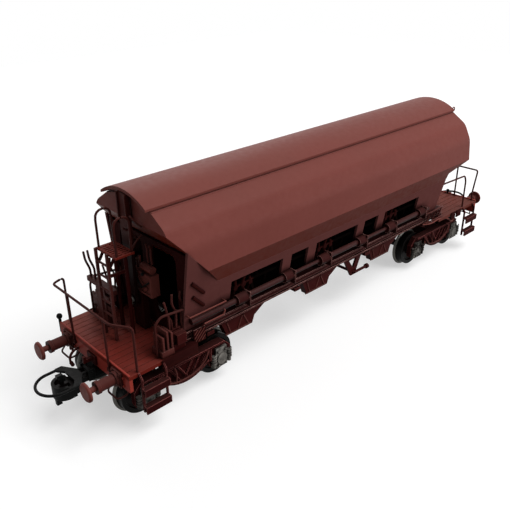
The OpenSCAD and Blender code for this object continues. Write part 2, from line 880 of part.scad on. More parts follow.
// A lifting ring at the far corner of the roof
module roof_ring() {
    ring_r = 0.6;
    wire_r = 0.16;
    end_set = 0.2;
    side_set = 0.5;
    translate([tank_far + ring_r - end_set, -roof_half + side_set, roof_edge_top]) rotate([90, 0, 0])
        rotate_extrude() translate([ring_r, 0]) circle(wire_r, $fn = 24);
}

module roof_shell() {
    color(body_red) difference() {
        union() {
            along(roof_near, tank_far) roof_section(0);
            roof_ring();
        }
        rod_x(roof_near - cut, tank_far + cut, 0, swing_z, 2 * swing_r);
        along(tank_near + roof_end, tank_far - roof_end) roof_outline(roof_sheet);
        along(roof_near - cut, tank_near) roof_outline(roof_sheet);
    }
}

// One roof arm, with its inner face at x = 0 and its outer side towards -X
module roof_arm() {
    top_gap = 0.3;
    top = roof_top - roof_sheet - top_gap;
    half = arm_width / 2;
    foot = arm_foot / 2;
    pad_gap = 0.15;
    pad_low = swing_z + swing_r + pad_gap;
    rib_drop = 6.7;
    rib_low = roof_top - rib_drop;
    rib_deep = 0.4;
    difference() {
        union() {
            along(-arm_gap - arm_thick, -arm_gap) {
                translate([0, swing_z]) circle(arm_eye);
                polygon([[-foot, swing_z], [foot, swing_z], [half, rib_low], [half, top],
                    [-half, top], [-half, rib_low]]);
            }
            block(-arm_gap, 0, -half, half, pad_low, top);
            for (y = [-half, half - arm_rib])
                block(-arm_gap - arm_thick - rib_deep, -arm_gap - arm_thick, y, y + arm_rib, rib_low, top);
        }
        rod_x(-arm_gap - arm_thick - cut, -arm_gap + cut, 0, swing_z, roof_pin_d + 2 * running_fit);
    }
}

module roof_arms() {
    color(frame_brown) {
        translate([tank_near, 0, 0]) roof_arm();
        translate([tank_far, 0, 0]) mirror([1, 0, 0]) roof_arm();
    }
}

// A pin, its inner end at the back of its bore and its head outside the arm
module roof_pin() {
    arm_face = -arm_gap - arm_thick;
    head = arm_face - pin_end_gap;
    rod_x(head - pin_head, stand_gap + pin_set - arm_gap, 0, swing_z, roof_pin_d);
    rod_x(head - pin_head, head, 0, swing_z, pin_head_d);
}

module roof_pins() {
    color(steel) {
        translate([tank_near, 0, 0]) roof_pin();
        translate([tank_far, 0, 0]) mirror([1, 0, 0]) roof_pin();
    }
}

module pivot_stand() {
    front = stand_gap - arm_gap;
    difference() {
        block(front, front + stand_depth, -stand_width / 2, stand_width / 2, deck_top, stand_top);
        rod_x(front - cut, front + pin_set, 0, swing_z, roof_pin_d + 2 * set_fit);
    }
}

module pivot_stands() {
    color(frame_brown) {
        translate([tank_near, 0, 0]) pivot_stand();
        translate([tank_far, 0, 0]) mirror([1, 0, 0]) pivot_stand();
    }
}

// A box on top of the near stand, with a rim, a bent handle, a drum and two rods above it
module control_box() {
    box_set = 0.3;
    depth = 2;
    front = tank_near + stand_gap - arm_gap + box_set;
    back = front + depth;
    right = -5.8;
    left = 1.4;
    height = 5.2;
    top = stand_top + height;
    rim = 0.5;
    relief = 0.25;
    bar = 0.5;
    handle_y = -2.2;
    handle_rise = 2.6;
    handle_half = 2.2;
    grip_half = 0.9;
    grip_y = 1.35;
    grip_z = 1.2;
    drum_set = 0.6;
    drum_end = -1.4;
    drum_d = 1.8;
    rod_d = 0.6;
    long_rod = 3;
    long_rod_y = -0.4;
    short_rod = 2.2;
    short_rod_y = 0.6;
    color(body_red) {
        block(front, back, right, left, stand_top, top);
        difference() {
            block(front - relief, front, right, left, stand_top, top);
            block(front - relief - cut, front, right + rim, left - rim, stand_top + rim, top - rim);
        }
        translate([front - relief, handle_y, stand_top + handle_rise]) {
            rotate([40, 0, 0]) block(0, relief, -handle_half, handle_half, -bar / 2, bar / 2);
            for (s = [-1, 1]) translate([0, s * grip_y, s * grip_z]) rotate([-40, 0, 0])
                block(0, relief, -grip_half, grip_half, -bar / 2, bar / 2);
        }
        rod_y(right + drum_set, drum_end, front + depth / 2, top + drum_d / 2, drum_d);
        rod_z(top, top + long_rod, front + depth / 2, long_rod_y, rod_d);
        rod_z(top, top + short_rod, front + depth / 2, short_rod_y, rod_d);
    }
}

// Near end fittings

module ladder() {
    stile = 0.5;
    depth = 0.6;
    front = platform_near - depth;
    rung_d = 0.5;
    first_rise = 2.8;
    first = deck_top + first_rise;
    color(frame_brown) {
        for (y = [ladder_right, ladder_left])
            block(front, platform_near, y - stile / 2, y + stile / 2, deck_top, platform_z);
        for (i = [0:5])
            rod_y(ladder_right, ladder_left, front + depth / 2, first + i * rung_pitch, rung_d);
    }
}

module upper_platform() {
    slot = 0.35;
    pitch = 0.85;
    edge = 0.5;
    rows = floor((platform_left - platform_right - 2 * edge - slot) / pitch);
    slot_length = (platform_far - platform_near - 3 * edge) / 2;
    color(deck_brown) difference() {
        block(platform_near, platform_far, platform_right, platform_left,
            platform_z - platform_thick, platform_z);
        for (i = [0:rows], half = [0, 1]) {
            x = platform_near + edge + half * (slot_length + edge);
            y = platform_right + edge + i * pitch;
            block(x, x + slot_length, y, y + slot, platform_z - platform_thick - cut, platform_z + cut);
        }
    }
}

module platform_posts() {
    tie_drop = 5.6;
    tie_z = platform_z - tie_drop;
    tie = 0.7;
    half = 0.2;
    under = platform_z - platform_thick;
    brace_drop = 3.4;
    brace_end = 0.8;
    brace_run = 1.6;
    brace_top = 0.6;
    knee_run = 0.9;
    knee_drop = 2.2;
    color(frame_brown) {
        for (y = [ladder_right, ladder_left - half])
            rod_z(deck_top, under, post_x, y, post_d);
        block(platform_near, post_x, ladder_right - half, ladder_right + half, tie_z, tie_z + tie);
        for (y = [ladder_right, ladder_left])
            across(y - half, y + half) polygon([[platform_near, under - brace_drop],
                [platform_near, under - brace_drop + brace_end], [platform_near + brace_run, under],
                [platform_near + brace_run + brace_top, under],
                [platform_near + knee_run, under - knee_drop]]);
    }
}

module hoop_rails() {
    hoop_rise = 8.2;
    front_set = 0.5;
    back_set = 0.4;
    side_set = 0.4;
    round = 2;
    top = platform_z + hoop_rise;
    front = platform_near + front_set;
    back = platform_far - back_set;
    color(frame_brown) for (y = [platform_right + side_set, platform_left - side_set])
        wire([[front, y, platform_z], [front, y, top], [back, y, top], [back, y, platform_z]],
            rail_d, [0, 1, 0], bend = round);
}

// A rail that rises behind the deck's edge, runs along the headstock and rests on two posts
module end_rail_near() {
    turn_run = 4.3;
    end_lift = 0.6;
    round = 0.9;
    post_right = -7.2;
    post_left = 7.4;
    block_rise = 2;
    block_height = 0.8;
    block_half = 0.5;
    block_low = headstock_low + block_rise;
    color(frame_brown) {
        wire([[rail_post_x, -rail_side, deck_top], [rail_post_x, -rail_side, rail_z],
            [rail_front_x, turn_run - rail_side, rail_z], [rail_front_x, rail_side, rail_z],
            [rail_post_x, rail_side, rail_z + end_lift], [rail_post_x, rail_side, deck_top]],
            rail_d, [1, 0, 0], bend = round);
        for (y = [post_right, post_left]) {
            wire([[rail_front_x, y, block_low], [rail_front_x, y, rail_z]], rail_d, [1, 0, 0]);
            block(-frame_half - rail_d, -frame_half, y - block_half, y + block_half,
                block_low, block_low + block_height);
        }
    }
}

// End rails beside the far buffers, and side rails from the far walls to the deck
module far_rails() {
    end_set = 0.8;
    end_x = frame_half - end_set;
    inner_y = 6.8;
    knee_rise = 3.4;
    knee_in = 0.8;
    side_set = 8;
    side_x = frame_half - side_set;
    side_rise = 10.8;
    side_z = deck_top + side_rise;
    side_run = 1;
    side_fall = 2;
    wall_gap = 0.05;
    round = 0.8;
    color(frame_brown) both_sides() {
        wire([[end_x, inner_y, deck_top], [end_x, inner_y, rail_z], [end_x, rail_side, rail_z],
            [end_x, rail_side - knee_in, deck_top + knee_rise], [end_x, rail_side - knee_in, deck_top]],
            rail_d, [1, 0, 0], bend = round);
        wire([[far_edge(side_z) + wall_gap, wall_out(side_z) - wall_thick / 2, side_z],
            [side_x - side_run, rail_side, side_z], [side_x, rail_side, side_z - side_fall],
            [side_x, rail_side, deck_top]], rail_d, [0, 1, 0], bend = round);
    }
}

// A hand rail from the side wall's edge down to the deck, with a lever from the gear box
module lever_loops() {
    wall_rise = 8.8;
    high_rise = 9.4;
    low_rise = 3.2;
    front_set = 4.4;
    front = tank_near - front_set;
    front_run = 1.6;
    front_fall = 1.4;
    low_run = 1.2;
    round = 0.8;
    low_round = 0.6;
    wall_z = deck_top + wall_rise;
    high = deck_top + high_rise;
    low = deck_top + low_rise;
    y = wall_out(wall_z) - wall_thick / 2;
    gear_y = deck_half - gear_plate_set + 2 * gear_plate;
    color(frame_brown) both_sides() {
        wire([[wall_near, y, wall_z], [front + front_run, y, high], [front, y, high - front_fall],
            [front, y, deck_top]], rail_d, [0, 1, 0], bend = round);
        wire([[front, y, low + front_fall], [front + low_run, y, low], [gear_front, gear_y, low]],
            rail_d * 0.9, [0, 1, 0], bend = low_round);
    }
}

// A base with three upright plates on a cross shaft
module gear_boxes() {
    inner_set = 4.2;
    outer_set = 0.6;
    inner = deck_half - inner_set;
    out = deck_half - outer_set;
    inner_plate_set = 4;
    inner_plate_rise = 3.8;
    outer_plate_set = 1.8;
    outer_plate_rise = 4.4;
    shaft_set = 1.5;
    shaft_height = 0.6;
    gear_shaft_d = 1;
    side_front = 0.6;
    side_in = 1.1;
    side_height = 2.4;
    top = deck_top + gear_base;
    plates = [[inner_plate_set, inner_plate_rise], [gear_plate_set, gear_plate_rise],
        [outer_plate_set, outer_plate_rise]];
    color(frame_brown) both_sides() {
        block(gear_front, gear_back, inner, out, deck_top, top);
        for (p = plates)
            block(gear_front, gear_back, deck_half - p[0], deck_half - p[0] + gear_plate,
                top, deck_top + p[1]);
        rod_y(inner, out, gear_front + shaft_set, top + shaft_height, gear_shaft_d);
        block(gear_front + side_front, gear_back, deck_half - side_in, deck_half, top, top + side_height);
    }
}

// A column behind the ladder with two cross arms and a toothed edge
module brake_stand() {
    column_right = 4.6;
    column_left = 8.4;
    arm = 1.2;
    arm_set = 0.2;
    upper_right = 1.8;
    upper_set = 2;
    lower_right = 2.6;
    lower_set = 3.6;
    upper_left = deck_half - upper_set;
    lower_left = deck_half - lower_set;
    lower_rise = 4.6;
    tooth = 0.5;
    tooth_height = 1;
    tooth_pitch = 2.1;
    box_width = 1.6;
    box_rise = 6.8;
    lower = deck_top + lower_rise;
    box_foot = deck_top + box_rise;
    color(frame_brown) {
        block(brake_front, brake_back, column_right, column_left, deck_top, brake_top);
        block(brake_front + arm_set, brake_back - arm_set, upper_right, upper_left,
            brake_top - arm, brake_top);
        block(brake_front + arm_set, brake_back - arm_set, lower_right, lower_left, lower, lower + arm);
        for (i = [0:3]) {
            z = deck_top + tooth_height + i * tooth_pitch;
            block(brake_front, brake_back, column_left, column_left + tooth, z, z + tooth_height);
        }
        block(brake_front, brake_back, column_right - box_width, column_right,
            box_foot, box_foot + box_width);
    }
}

// Two tall levers on the stand and two short ones on the right gear box
module brake_levers() {
    tall_set = 4.8;
    tall_y = deck_half - tall_set;
    tall_gap = 2;
    sway = 0.2;
    tall_rise = 2.8;
    tall_step = 1;
    tall_bend = 2.4;
    tall_tip = 2.2;
    lean = 0.8;
    tip_lean = 0.2;
    round = 0.7;
    x = (brake_front + brake_back) / 2;
    short_x = 1;
    short_gap = 1.2;
    short_rise = 2;
    short_tip = 2.2;
    short_lean = 1;
    short_round = 0.6;
    gear_top = deck_top + gear_plate_rise;
    short_y = gear_plate_set - gear_plate / 2 - deck_half;
    color(frame_brown) {
        for (i = [0, 1]) {
            y = tall_y + i * tall_gap;
            knee = brake_top + tall_rise - i * tall_step;
            wire([[x, y, brake_top], [x, y, knee], [x - lean, y + sway, knee + tall_bend],
                [x - lean - tip_lean, y + sway, knee + tall_bend + tall_tip]],
                rail_d, [0, 1, 0], bend = round);
        }
        for (i = [0, 1]) {
            foot_x = gear_front + short_x + i * short_gap;
            tip_x = foot_x + (i - 0.7) * 1.4 * short_lean;
            wire([[foot_x, short_y, gear_top], [foot_x, short_y, gear_top + short_rise],
                [tip_x, short_y, gear_top + short_rise + short_tip]], rail_d, [0, 1, 0], bend = short_round);
        }
    }
}

// Steps: two treads on two hangers that hang from the deck's edge
module step_unit() {
    length = 6.4;
    gap = 0.6;
    depth = 1.5;
    inner = deck_half + gap;
    outer = inner + depth;
    hanger = 0.4;
    hanger_deep = 0.5;
    hanger_fall = 1.2;
    hanger_knee = 0.8;
    tread = 0.4;
    lip = 1.3;
    step_pitch = 4.4;
    for (x = [0, length - hanger])
        along(x, x + hanger) polygon([
            [deck_half, deck_low], [deck_half, deck_top], [inner + hanger_deep, deck_top - hanger_fall],
            [inner + hanger_deep, step_low - lip], [inner, step_low - lip], [inner, deck_low - hanger_knee]]);
    for (z = [step_low, step_low + step_pitch]) {
        block(0, length, inner, outer, z, z + tread);
        block(0, length, outer - hanger, outer, z - lip, z);
    }
}

module steps() {
    near_set = 2.2;
    far_set = 8.6;
    color(frame_brown) both_sides() {
        translate([near_set - frame_half, 0, 0]) step_unit();
        translate([frame_half - far_set, 0, 0]) step_unit();
    }
}

// Grab loops below the headstocks, one under each buffer
module grab_loops() {
    top_set = 0.3;
    reach = 1.8;
    drop = 1.9;
    leg = 1;
    outer_set = 1.4;
    splay = 1;
    width = 6;
    round = 0.8;
    top_x = -frame_half + top_set;
    low_x = -frame_half - reach;
    low = headstock_low - drop;
    outer = deck_half - outer_set;
    inner = outer - width;
    color(frame_brown) both_ends() both_sides()
        wire([[top_x, outer, headstock_low], [top_x, outer, headstock_low - leg], [low_x, outer - splay, low],
            [low_x, inner + splay, low], [top_x, inner, headstock_low - leg], [top_x, inner, headstock_low]],
            rail_d * 0.8, [1, 0, 0], bend = round, sides = 6);
}

module corner_lever() {
    set = 0.4;
    x = -frame_half + set;
    reach = 0.5;
    y = deck_half + reach;
    drop = 1.7;
    foot = 0.7;
    height = 4;
    rod_d = 0.7;
    knob_d = 1.4;
    low = deck_low - drop;
    color(coupler_grey) {
        block(x - set, x + set, deck_half, y, low, low + foot);
        rod_z(low, low + height, x, y, rod_d);
        translate([x, y, low + height]) sphere(d = knob_d);
    }
}

// Buffers and couplers

module draw_hook() {
    plate = 0.5;
    plate_half = 1.7;
    plate_height = 2.2;
    drop = 0.2;
    bar = 0.7;
    bar_length = 2;
    bar_height = 0.8;
    lip = 0.8;
    face = -frame_half;
    z = buffer_z - drop;
    front = face - plate - bar_length;
    block(face - plate, face, -plate_half, plate_half, z - plate_height / 2, z + plate_height / 2);
    block(front, face - plate, -bar / 2, bar / 2, z - bar_height / 2, z + bar_height / 2);
    block(front, front + bar, -bar / 2, bar / 2, z + bar_height / 2, z + bar_height / 2 + lip);
}

module draw_hooks() { color(frame_brown) both_ends() draw_hook(); }

// A sleeve on its base plate with four bolts, open at the front
module buffer_sleeve() {
    face = -frame_half;
    front = -sleeve_front;
    collar = 0.8;
    collar_reach = 0.2;
    foot_d = 3.3;
    foot = 0.7;
    bolt = 1.35;
    bolt_d = 0.6;
    bolt_head = 0.25;
    translate([0, buffer_y, buffer_z]) difference() {
        union() {
            block(face - base_plate, face, -base_size / 2, base_size / 2, -base_size / 2, base_size / 2);
            rod_x(front, face, 0, 0, sleeve_d);
            rod_x(front, front + collar, 0, 0, sleeve_d + 2 * collar_reach);
            rod_x(face - base_plate - foot, face, 0, 0, foot_d);
            for (y = [-bolt, bolt], z = [-bolt, bolt])
                rod_x(face - base_plate - bolt_head, face, y, z, bolt_d);
        }
        rod_x(front - cut, -bore_back, 0, 0, shank_d + 2 * running_fit);
    }
}

module buffer_sleeves() {
    color(body_red) both_ends() both_sides() buffer_sleeve();
}

// A spring, drawn at its closed length
module buffer_spring() {
    bore_gap = 0.1;
    coil = 0.25;
    spring_d = shank_d - 2 * bore_gap;
    translate([0, buffer_y, buffer_z]) difference() {
        rod_x(-bore_back - spring_length, -bore_back, 0, 0, spring_d);
        rod_x(-bore_back - spring_length - cut, -bore_back + cut, 0, 0, spring_d - 2 * coil);
    }
}

module buffer_springs() {
    color(steel) both_ends() both_sides() buffer_spring();
}

// A buffer head with a rounded rim and a shank
module buffer_head() {
    rim = 0.3;
    neck = 0.4;
    color(body_red) translate([-buffer_face, buffer_y, buffer_z]) rotate([0, 90, 0]) rotate_extrude()
        polygon([[0, 0], [head_d / 2 - rim, 0], [head_d / 2, rim], [head_d / 2, head_thick],
            [shank_d / 2 + neck, head_thick], [shank_d / 2, head_thick + neck],
            [shank_d / 2, buffer_face - shank_back], [0, buffer_face - shank_back]]);
}

module buffer_near_left() { buffer_head(); }
module buffer_near_right() { mirror([0, 1, 0]) buffer_head(); }
module buffer_far_left() { mirror([1, 0, 0]) buffer_head(); }
module buffer_far_right() { mirror([1, 0, 0]) mirror([0, 1, 0]) buffer_head(); }

module coupler_pocket() {
    half = 2.6;
    reach = 3;
    block(-pin_x - reach, -pin_x + reach, -half, half, spine_low - pocket_plate, spine_low);
}

module coupler_pockets() { color(frame_brown) both_ends() coupler_pocket(); }

module coupler_pin() {
    head = 0.5;
    head_d = 2.4;
    head_gap = 0.15;
    head_top = coupler_low - head_gap;
    rod_z(head_top - head, spine_low - pocket_plate, -pin_x, 0, coupler_pin_d);
    rod_z(head_top - head, head_top, -pin_x, 0, head_d);
}

module coupler_pins() { color(steel) both_ends() coupler_pin(); }

// The shank with its eye, a curved face on two arms, a hook behind it, two tails, and the hinge ears
module coupler_hook() {
    eye_r = 1.9;
    bar_half = 1.5;
    hook_half = 0.45;
    face_r = 2.6;
    face_thick = 0.7;
    face_in = face_r - face_thick;
    face_set = 6.2;
    face_x = -loop_tip + face_set;
    face_lip = 0.4;
    face_top = coupler_high + face_lip;
    head_drop = 1.6;
    head_low = coupler_low - head_drop;
    arm = 1.6;
    plate = 0.7;
    hook_rise = 1.9;
    hook_top = coupler_high + hook_rise;
    hook_depth = 0.8;
    hook_lip = 0.6;
    tail = 1.2;
    tail_set = 0.3;
    ear_in = 1.4;
    ear_out = 2;
    ear_half = 0.8;
    color(coupler_grey) difference() {
        union() {
            rod_z(coupler_low, coupler_high, -pin_x, 0, 2 * eye_r);
            block(face_x + arm - plate, -pin_x, -bar_half, bar_half, coupler_low, coupler_high);
            block(face_x + arm - plate, face_x + arm, -face_r, face_r, head_low, coupler_high);
            both_sides() block(face_x, face_x + arm, face_in, face_r, head_low, coupler_high);
            translate([face_x, 0, head_low]) linear_extrude(face_top - head_low) difference() {
                circle(face_r);
                circle(face_in);
                translate([0, -face_r - cut]) square(2 * face_r + 2 * cut);
            }
            block(face_x - face_in - cut, face_x + arm, -hook_half, hook_half, coupler_low, coupler_high);
            block(face_x - hook_depth, face_x, -hook_half, hook_half, coupler_high, hook_top);
            block(face_x - hook_depth - hook_lip, face_x, -hook_half, hook_half,
                hook_top, hook_top + hook_lip);
            block(face_x - face_r + tail_set, face_x - face_r + tail_set + tail, -hook_half, hook_half,
                head_low - 1.5 * tail, coupler_low + cut);
            block(face_x + 2 * tail, face_x + 3 * tail, -hook_half, hook_half,
                head_low - tail, coupler_low + cut);
            both_sides() block(-loop_pin_x - ear_half, -loop_pin_x + ear_half, ear_in, ear_out,
                coupler_low, loop_z + ear_half);
        }
        rod_z(coupler_low - cut, coupler_high + cut, -pin_x, 0, coupler_pin_d + 2 * running_fit);
        rod_y(-ear_out - cut, ear_out + cut, -loop_pin_x, loop_z, loop_pin_d + 2 * running_fit);
    }
}

module coupler_hook_near() { coupler_hook(); }
module coupler_hook_far() { mirror([1, 0, 0]) coupler_hook(); }

// The loop: a barrel on its hinge pin, two legs, a flared plate and a round bow
module coupler_loop() {
    barrel_half = 1.25;
    barrel_d = 1.1;
    pin_half = 2;
    leg = 0.5;
    leg_length = 1.8;
    neck = -loop_pin_x - leg_length;
    flare_run = 2;
    flare = neck - flare_run;
    front_run = 1.6;
    front = flare - front_run;
    web = 0.4;
    web_side = 0.9;
    outer = loop_width / 2;
    bow_r = outer - loop_bar / 2;
    bow_x = -loop_tip + outer;
    color(coupler_grey) {
        rod_y(-barrel_half, barrel_half, -loop_pin_x, loop_z, barrel_d);
        rod_y(-pin_half, pin_half, -loop_pin_x, loop_z, loop_pin_d);
        translate([0, 0, loop_z - loop_thick / 2]) linear_extrude(loop_thick) {
            for (y = [-barrel_half, barrel_half - leg])
                translate([neck - cut, y]) square([leg_length + cut, leg]);
            polygon([[neck, -barrel_half], [neck, barrel_half], [flare, outer], [front, outer],
                [front, outer - loop_bar], [flare - web, barrel_half + web_side],
                [flare - web, -barrel_half - web_side],
                [front, loop_bar - outer], [front, -outer], [flare, -outer]]);
        }
        both_sides() rod_x(bow_x, flare - web, bow_r, loop_z, loop_bar);
        translate([bow_x, 0, loop_z]) rotate([0, 0, 90]) rotate_extrude(angle = 180)
            translate([bow_r, 0]) circle(d = loop_bar);
    }
}

module coupler_loop_near() { coupler_loop(); }
module coupler_loop_far() { mirror([1, 0, 0]) coupler_loop(); }

// Running gear

// A screw up through a bogie's transom into the spine
module bogie_screws() {
    head = 0.7;
    head_gap = 0.15;
    head_reach = 0.85;
    head_top = transom_low - head_gap;
    color(steel) for (x = bogie_x) {
        rod_z(head_top - head, deck_low, x, 0, screw_d);
        rod_z(head_top - head, head_top, x, 0, screw_d + 2 * head_reach);
    }
}

// The lower edge of a side frame's bellied middle
belly_in = 1.2;
belly_half_length = wheelbase / 2 - box_half - belly_in;
belly_bow = 2.2;
belly_line = [for (t = [1:-0.2:-1]) [t * belly_half_length, frame_mid_low + belly_bow * t * t]];

// A side frame's outline: a bellied middle and a horn round each axle box
module side_frame_outline() {
    a = wheelbase / 2;
    end = a + horn_reach;
    slant = 2.2;
    horn_drop = 1.7;
    horn_low = axle_z - horn_drop;
    end_drop = 0.9;
    end_low = axle_z - end_drop;
    polygon([[-end, bogie_top - slant], [-end + slant, bogie_top], [end - slant, bogie_top],
        [end, bogie_top - slant], [end, end_low], [a + box_half, horn_low], [a - box_half, horn_low],
        each belly_line, [-a + box_half, horn_low], [-a - box_half, horn_low], [-end, end_low]]);
}

// A side frame: a plate with rims, slanting ribs, end posts and two journal bores
module side_frame() {
    a = wheelbase / 2;
    end_set = 0.85;
    reach = a + end_set;
    rib_half = 0.2;
    rib_deep = 0.4;
    rib_out = plate_out + rib_deep;
    rib_reach = 4;
    rib_lean = 32;
    post_set = 0.6;
    post_half = 0.3;
    post_rise = 0.8;
    post_x = a - box_half - post_set;
    difference() {
        union() {
            across(plate_in, plate_out) side_frame_outline();
            block(-reach, reach, plate_in, rim_out, bogie_top - frame_rim, bogie_top);
            across(plate_in, rim_out) polygon([each belly_line,
                for (i = [len(belly_line) - 1:-1:0]) belly_line[i] + [0, frame_rim]]);
            intersection() {
                across(plate_in, rib_out) side_frame_outline();
                block(-post_x, post_x, plate_in, rib_out, box_low, bogie_top);
                for (s = [-1, 1], share = [0.12, 0.42, 0.72])
                    translate([s * share * post_x, 0, (frame_mid_low + bogie_top) / 2])
                        rotate([0, s * rib_lean, 0])
                            block(-rib_half, rib_half, plate_in, rib_out, -rib_reach, rib_reach);
            }
            for (x = [-post_x, post_x])
                block(x - post_half, x + post_half, plate_in, rim_out, axle_z + post_rise, bogie_top);
        }
        for (x = [-a, a])
            rod_y(plate_in - cut, plate_out + cut, x, axle_z, journal_d + 2 * running_fit);
    }
}

module bogie_frame() {
    boss_d = 6;
    shoe_in = 1;
    shoe_width = 1.4;
    block_in = wheel_back + shoe_in;
    block_out = block_in + shoe_width;
    shoe_gap = 0.75;
    shoe_front = wheelbase / 2 - tread_d / 2 - shoe_gap;
    shoe_drop = 0.9;
    shoe_low = axle_z - shoe_drop;
    shoe_lap = 1;
    color(frame_brown) difference() {
        union() {
            both_sides() side_frame();
            block(-transom_half, transom_half, -plate_in, plate_in, transom_low, bogie_top);
            rod_z(transom_low, spine_low - swivel_gap, 0, 0, boss_d);
            both_sides() for (s = [0, 1]) mirror([s, 0, 0])
                block(transom_half, shoe_front, block_in, block_out, shoe_low, transom_low + shoe_lap);
            both_sides()
                block(-transom_half, transom_half, block_in, block_out, shoe_low, transom_low);
        }
        rod_z(transom_low - cut, spine_low, 0, 0, screw_d + 2 * running_fit);
    }
}

module bogie_frame_near() { translate([bogie_x[0], 0, 0]) bogie_frame(); }
module bogie_frame_far() { translate([bogie_x[1], 0, 0]) bogie_frame(); }

// Covers of the four axle boxes, each a block with a round lid, a ledge and two spring pots
module axle_boxes() {
    cover_half = 1.6;
    cover_rise = 3;
    lid_d = 2.9;
    lid = 0.35;
    back = box_out - lid;
    ledge_rise = 0.5;
    ledge = 0.6;
    pot_d = 1;
    pot_rise = 1.5;
    pot_gap = 0.05;
    ledge_low = box_low + ledge_rise;
    color(steel) both_sides() for (x = [-wheelbase / 2, wheelbase / 2]) {
        block(x - cover_half, x + cover_half, plate_out, back, box_low, axle_z + cover_rise);
        rod_y(plate_out, box_out, x, axle_z, lid_d);
        block(x - box_half, x + box_half, plate_out, back, ledge_low, ledge_low + ledge);
        for (s = [-1, 1])
            rod_z(ledge_low, axle_z + pot_rise, x + s * (box_half - pot_d / 2),
                plate_out + pot_gap + pot_d / 2, pot_d);
    }
}

module axle_boxes_near() { translate([bogie_x[0], 0, 0]) axle_boxes(); }
module axle_boxes_far() { translate([bogie_x[1], 0, 0]) axle_boxes(); }

// An axle with two dished wheels and a journal at each end
module wheelset(i) {
    bogie = i < 2 ? 0 : 1;
    side = i % 2 == 0 ? -1 : 1;
    hub = 0.9;
    hub_r = axle_d / 2 + hub;
    tread_r = tread_d / 2;
    dish = 0.7;
    rim = 1;
    taper = 0.2;
    flange_round = 0.15;
    flange_rise = 0.3;
    flange_fall = 0.5;
    journal_end = plate_out - journal_end_gap;
    half = [
        [axle_d / 2, 0],
        [axle_d / 2, wheel_back],
        [flange_r - flange_round, wheel_back],
        [flange_r, wheel_back + flange_rise],
        [flange_r - flange_round / 2, wheel_back + flange_fall],
        [tread_r, wheel_back + flange_width],
        [tread_r, wheel_face],
        [tread_r - rim, wheel_face],
        [tread_r - rim - taper, wheel_face - dish],
        [hub_r + taper, wheel_face - dish],
        [hub_r, wheel_face],
        [journal_d / 2, wheel_face],
        [journal_d / 2, journal_end],
        [0, journal_end]
    ];
    color(steel) translate([bogie_x[bogie] + side * wheelbase / 2, 0, axle_z]) both_sides()
        rotate([-90, 0, 0]) rotate_extrude() polygon([[0, 0], each half]);
}

module wheelset_1() { wheelset(0); }
module wheelset_2() { wheelset(1); }
module wheelset_3() { wheelset(2); }
module wheelset_4() { wheelset(3); }

hopper_tank();
saddle_floor();
side_wall_right();
side_wall_left();
end_wall_near();
end_wall_far();
chutes();
ballast_weight();
lever_shafts();
discharge_tubes();
tube_brackets();
underframe();
side_sill_right();
side_sill_left();
headstock_near();
headstock_far();
deck_near();
deck_far();
pivot_stands();
control_box();
roof_pins();
ladder();
upper_platform();
platform_posts();
hoop_rails();
end_rail_near();
far_rails();
lever_loops();
gear_boxes();
brake_stand();
brake_levers();
steps();
grab_loops();
corner_lever();
brake_rigging();
draw_hooks();
buffer_sleeves();
buffer_springs();
coupler_pockets();
coupler_pins();
bogie_screws();
roof_shell();
roof_arms();
buffer_near_right();
buffer_near_left();
buffer_far_right();
buffer_far_left();
bogie_frame_near();
axle_boxes_near();
bogie_frame_far();
axle_boxes_far();
wheelset_1();
wheelset_2();
wheelset_3();
wheelset_4();
coupler_hook_near();
coupler_loop_near();
coupler_hook_far();
coupler_loop_far();
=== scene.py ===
# %% [markdown]
# # A model hopper car, dressed for its picture
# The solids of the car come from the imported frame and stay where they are.
# This lesson gives them their finishes, adds the small moulded details that a
# solid model leaves out, and sets up the studio and the camera.

# %% Load the frame
import math
from functools import partial

import bpy
from mathutils import Matrix, Vector


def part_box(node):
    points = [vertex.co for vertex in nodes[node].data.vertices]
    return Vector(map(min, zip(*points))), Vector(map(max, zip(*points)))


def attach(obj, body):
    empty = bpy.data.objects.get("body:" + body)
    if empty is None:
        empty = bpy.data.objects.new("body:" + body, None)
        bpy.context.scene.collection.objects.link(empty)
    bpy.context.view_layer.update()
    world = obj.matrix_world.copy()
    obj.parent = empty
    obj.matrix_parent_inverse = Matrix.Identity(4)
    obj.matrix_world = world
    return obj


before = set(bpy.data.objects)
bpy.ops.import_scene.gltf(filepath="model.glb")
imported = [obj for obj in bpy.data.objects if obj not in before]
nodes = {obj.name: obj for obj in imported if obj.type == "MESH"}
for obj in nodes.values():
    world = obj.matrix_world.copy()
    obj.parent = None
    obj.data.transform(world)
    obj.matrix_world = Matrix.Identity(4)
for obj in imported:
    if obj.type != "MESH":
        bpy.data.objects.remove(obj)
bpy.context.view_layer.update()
MM = 0.001

# %% [markdown]
# ## The camera
# The picture was taken from close up, at the platform end and above the right
# side. A camera set by eye never quite lines up, so its place was worked out
# from the buffers, the deck corners and the tank's edges. It is written as a
# place, three angles, and a focal length and a centre counted in pixels.

# %% Camera
FRAME_PX = 510
FOCAL_PX = 626.12
CENTRE_PX = Vector((244.49, 253.79))
SENSOR_MM = 36.0
CLIP_NEAR, CLIP_FAR = 0.005, 20
CAMERA_PLACE = Vector((-119.91, -106.04, 92.83)) * MM
YAW, PITCH, ROLL = (math.radians(angle) for angle in (47.66, -26.3, -1.07))

ahead = Vector((math.cos(PITCH) * math.cos(YAW),
                math.cos(PITCH) * math.sin(YAW),
                math.sin(PITCH)))
level_right = ahead.cross(Vector((0, 0, 1))).normalized()
level_up = level_right.cross(ahead)
right = math.cos(ROLL) * level_right + math.sin(ROLL) * level_up
up = math.cos(ROLL) * level_up - math.sin(ROLL) * level_right

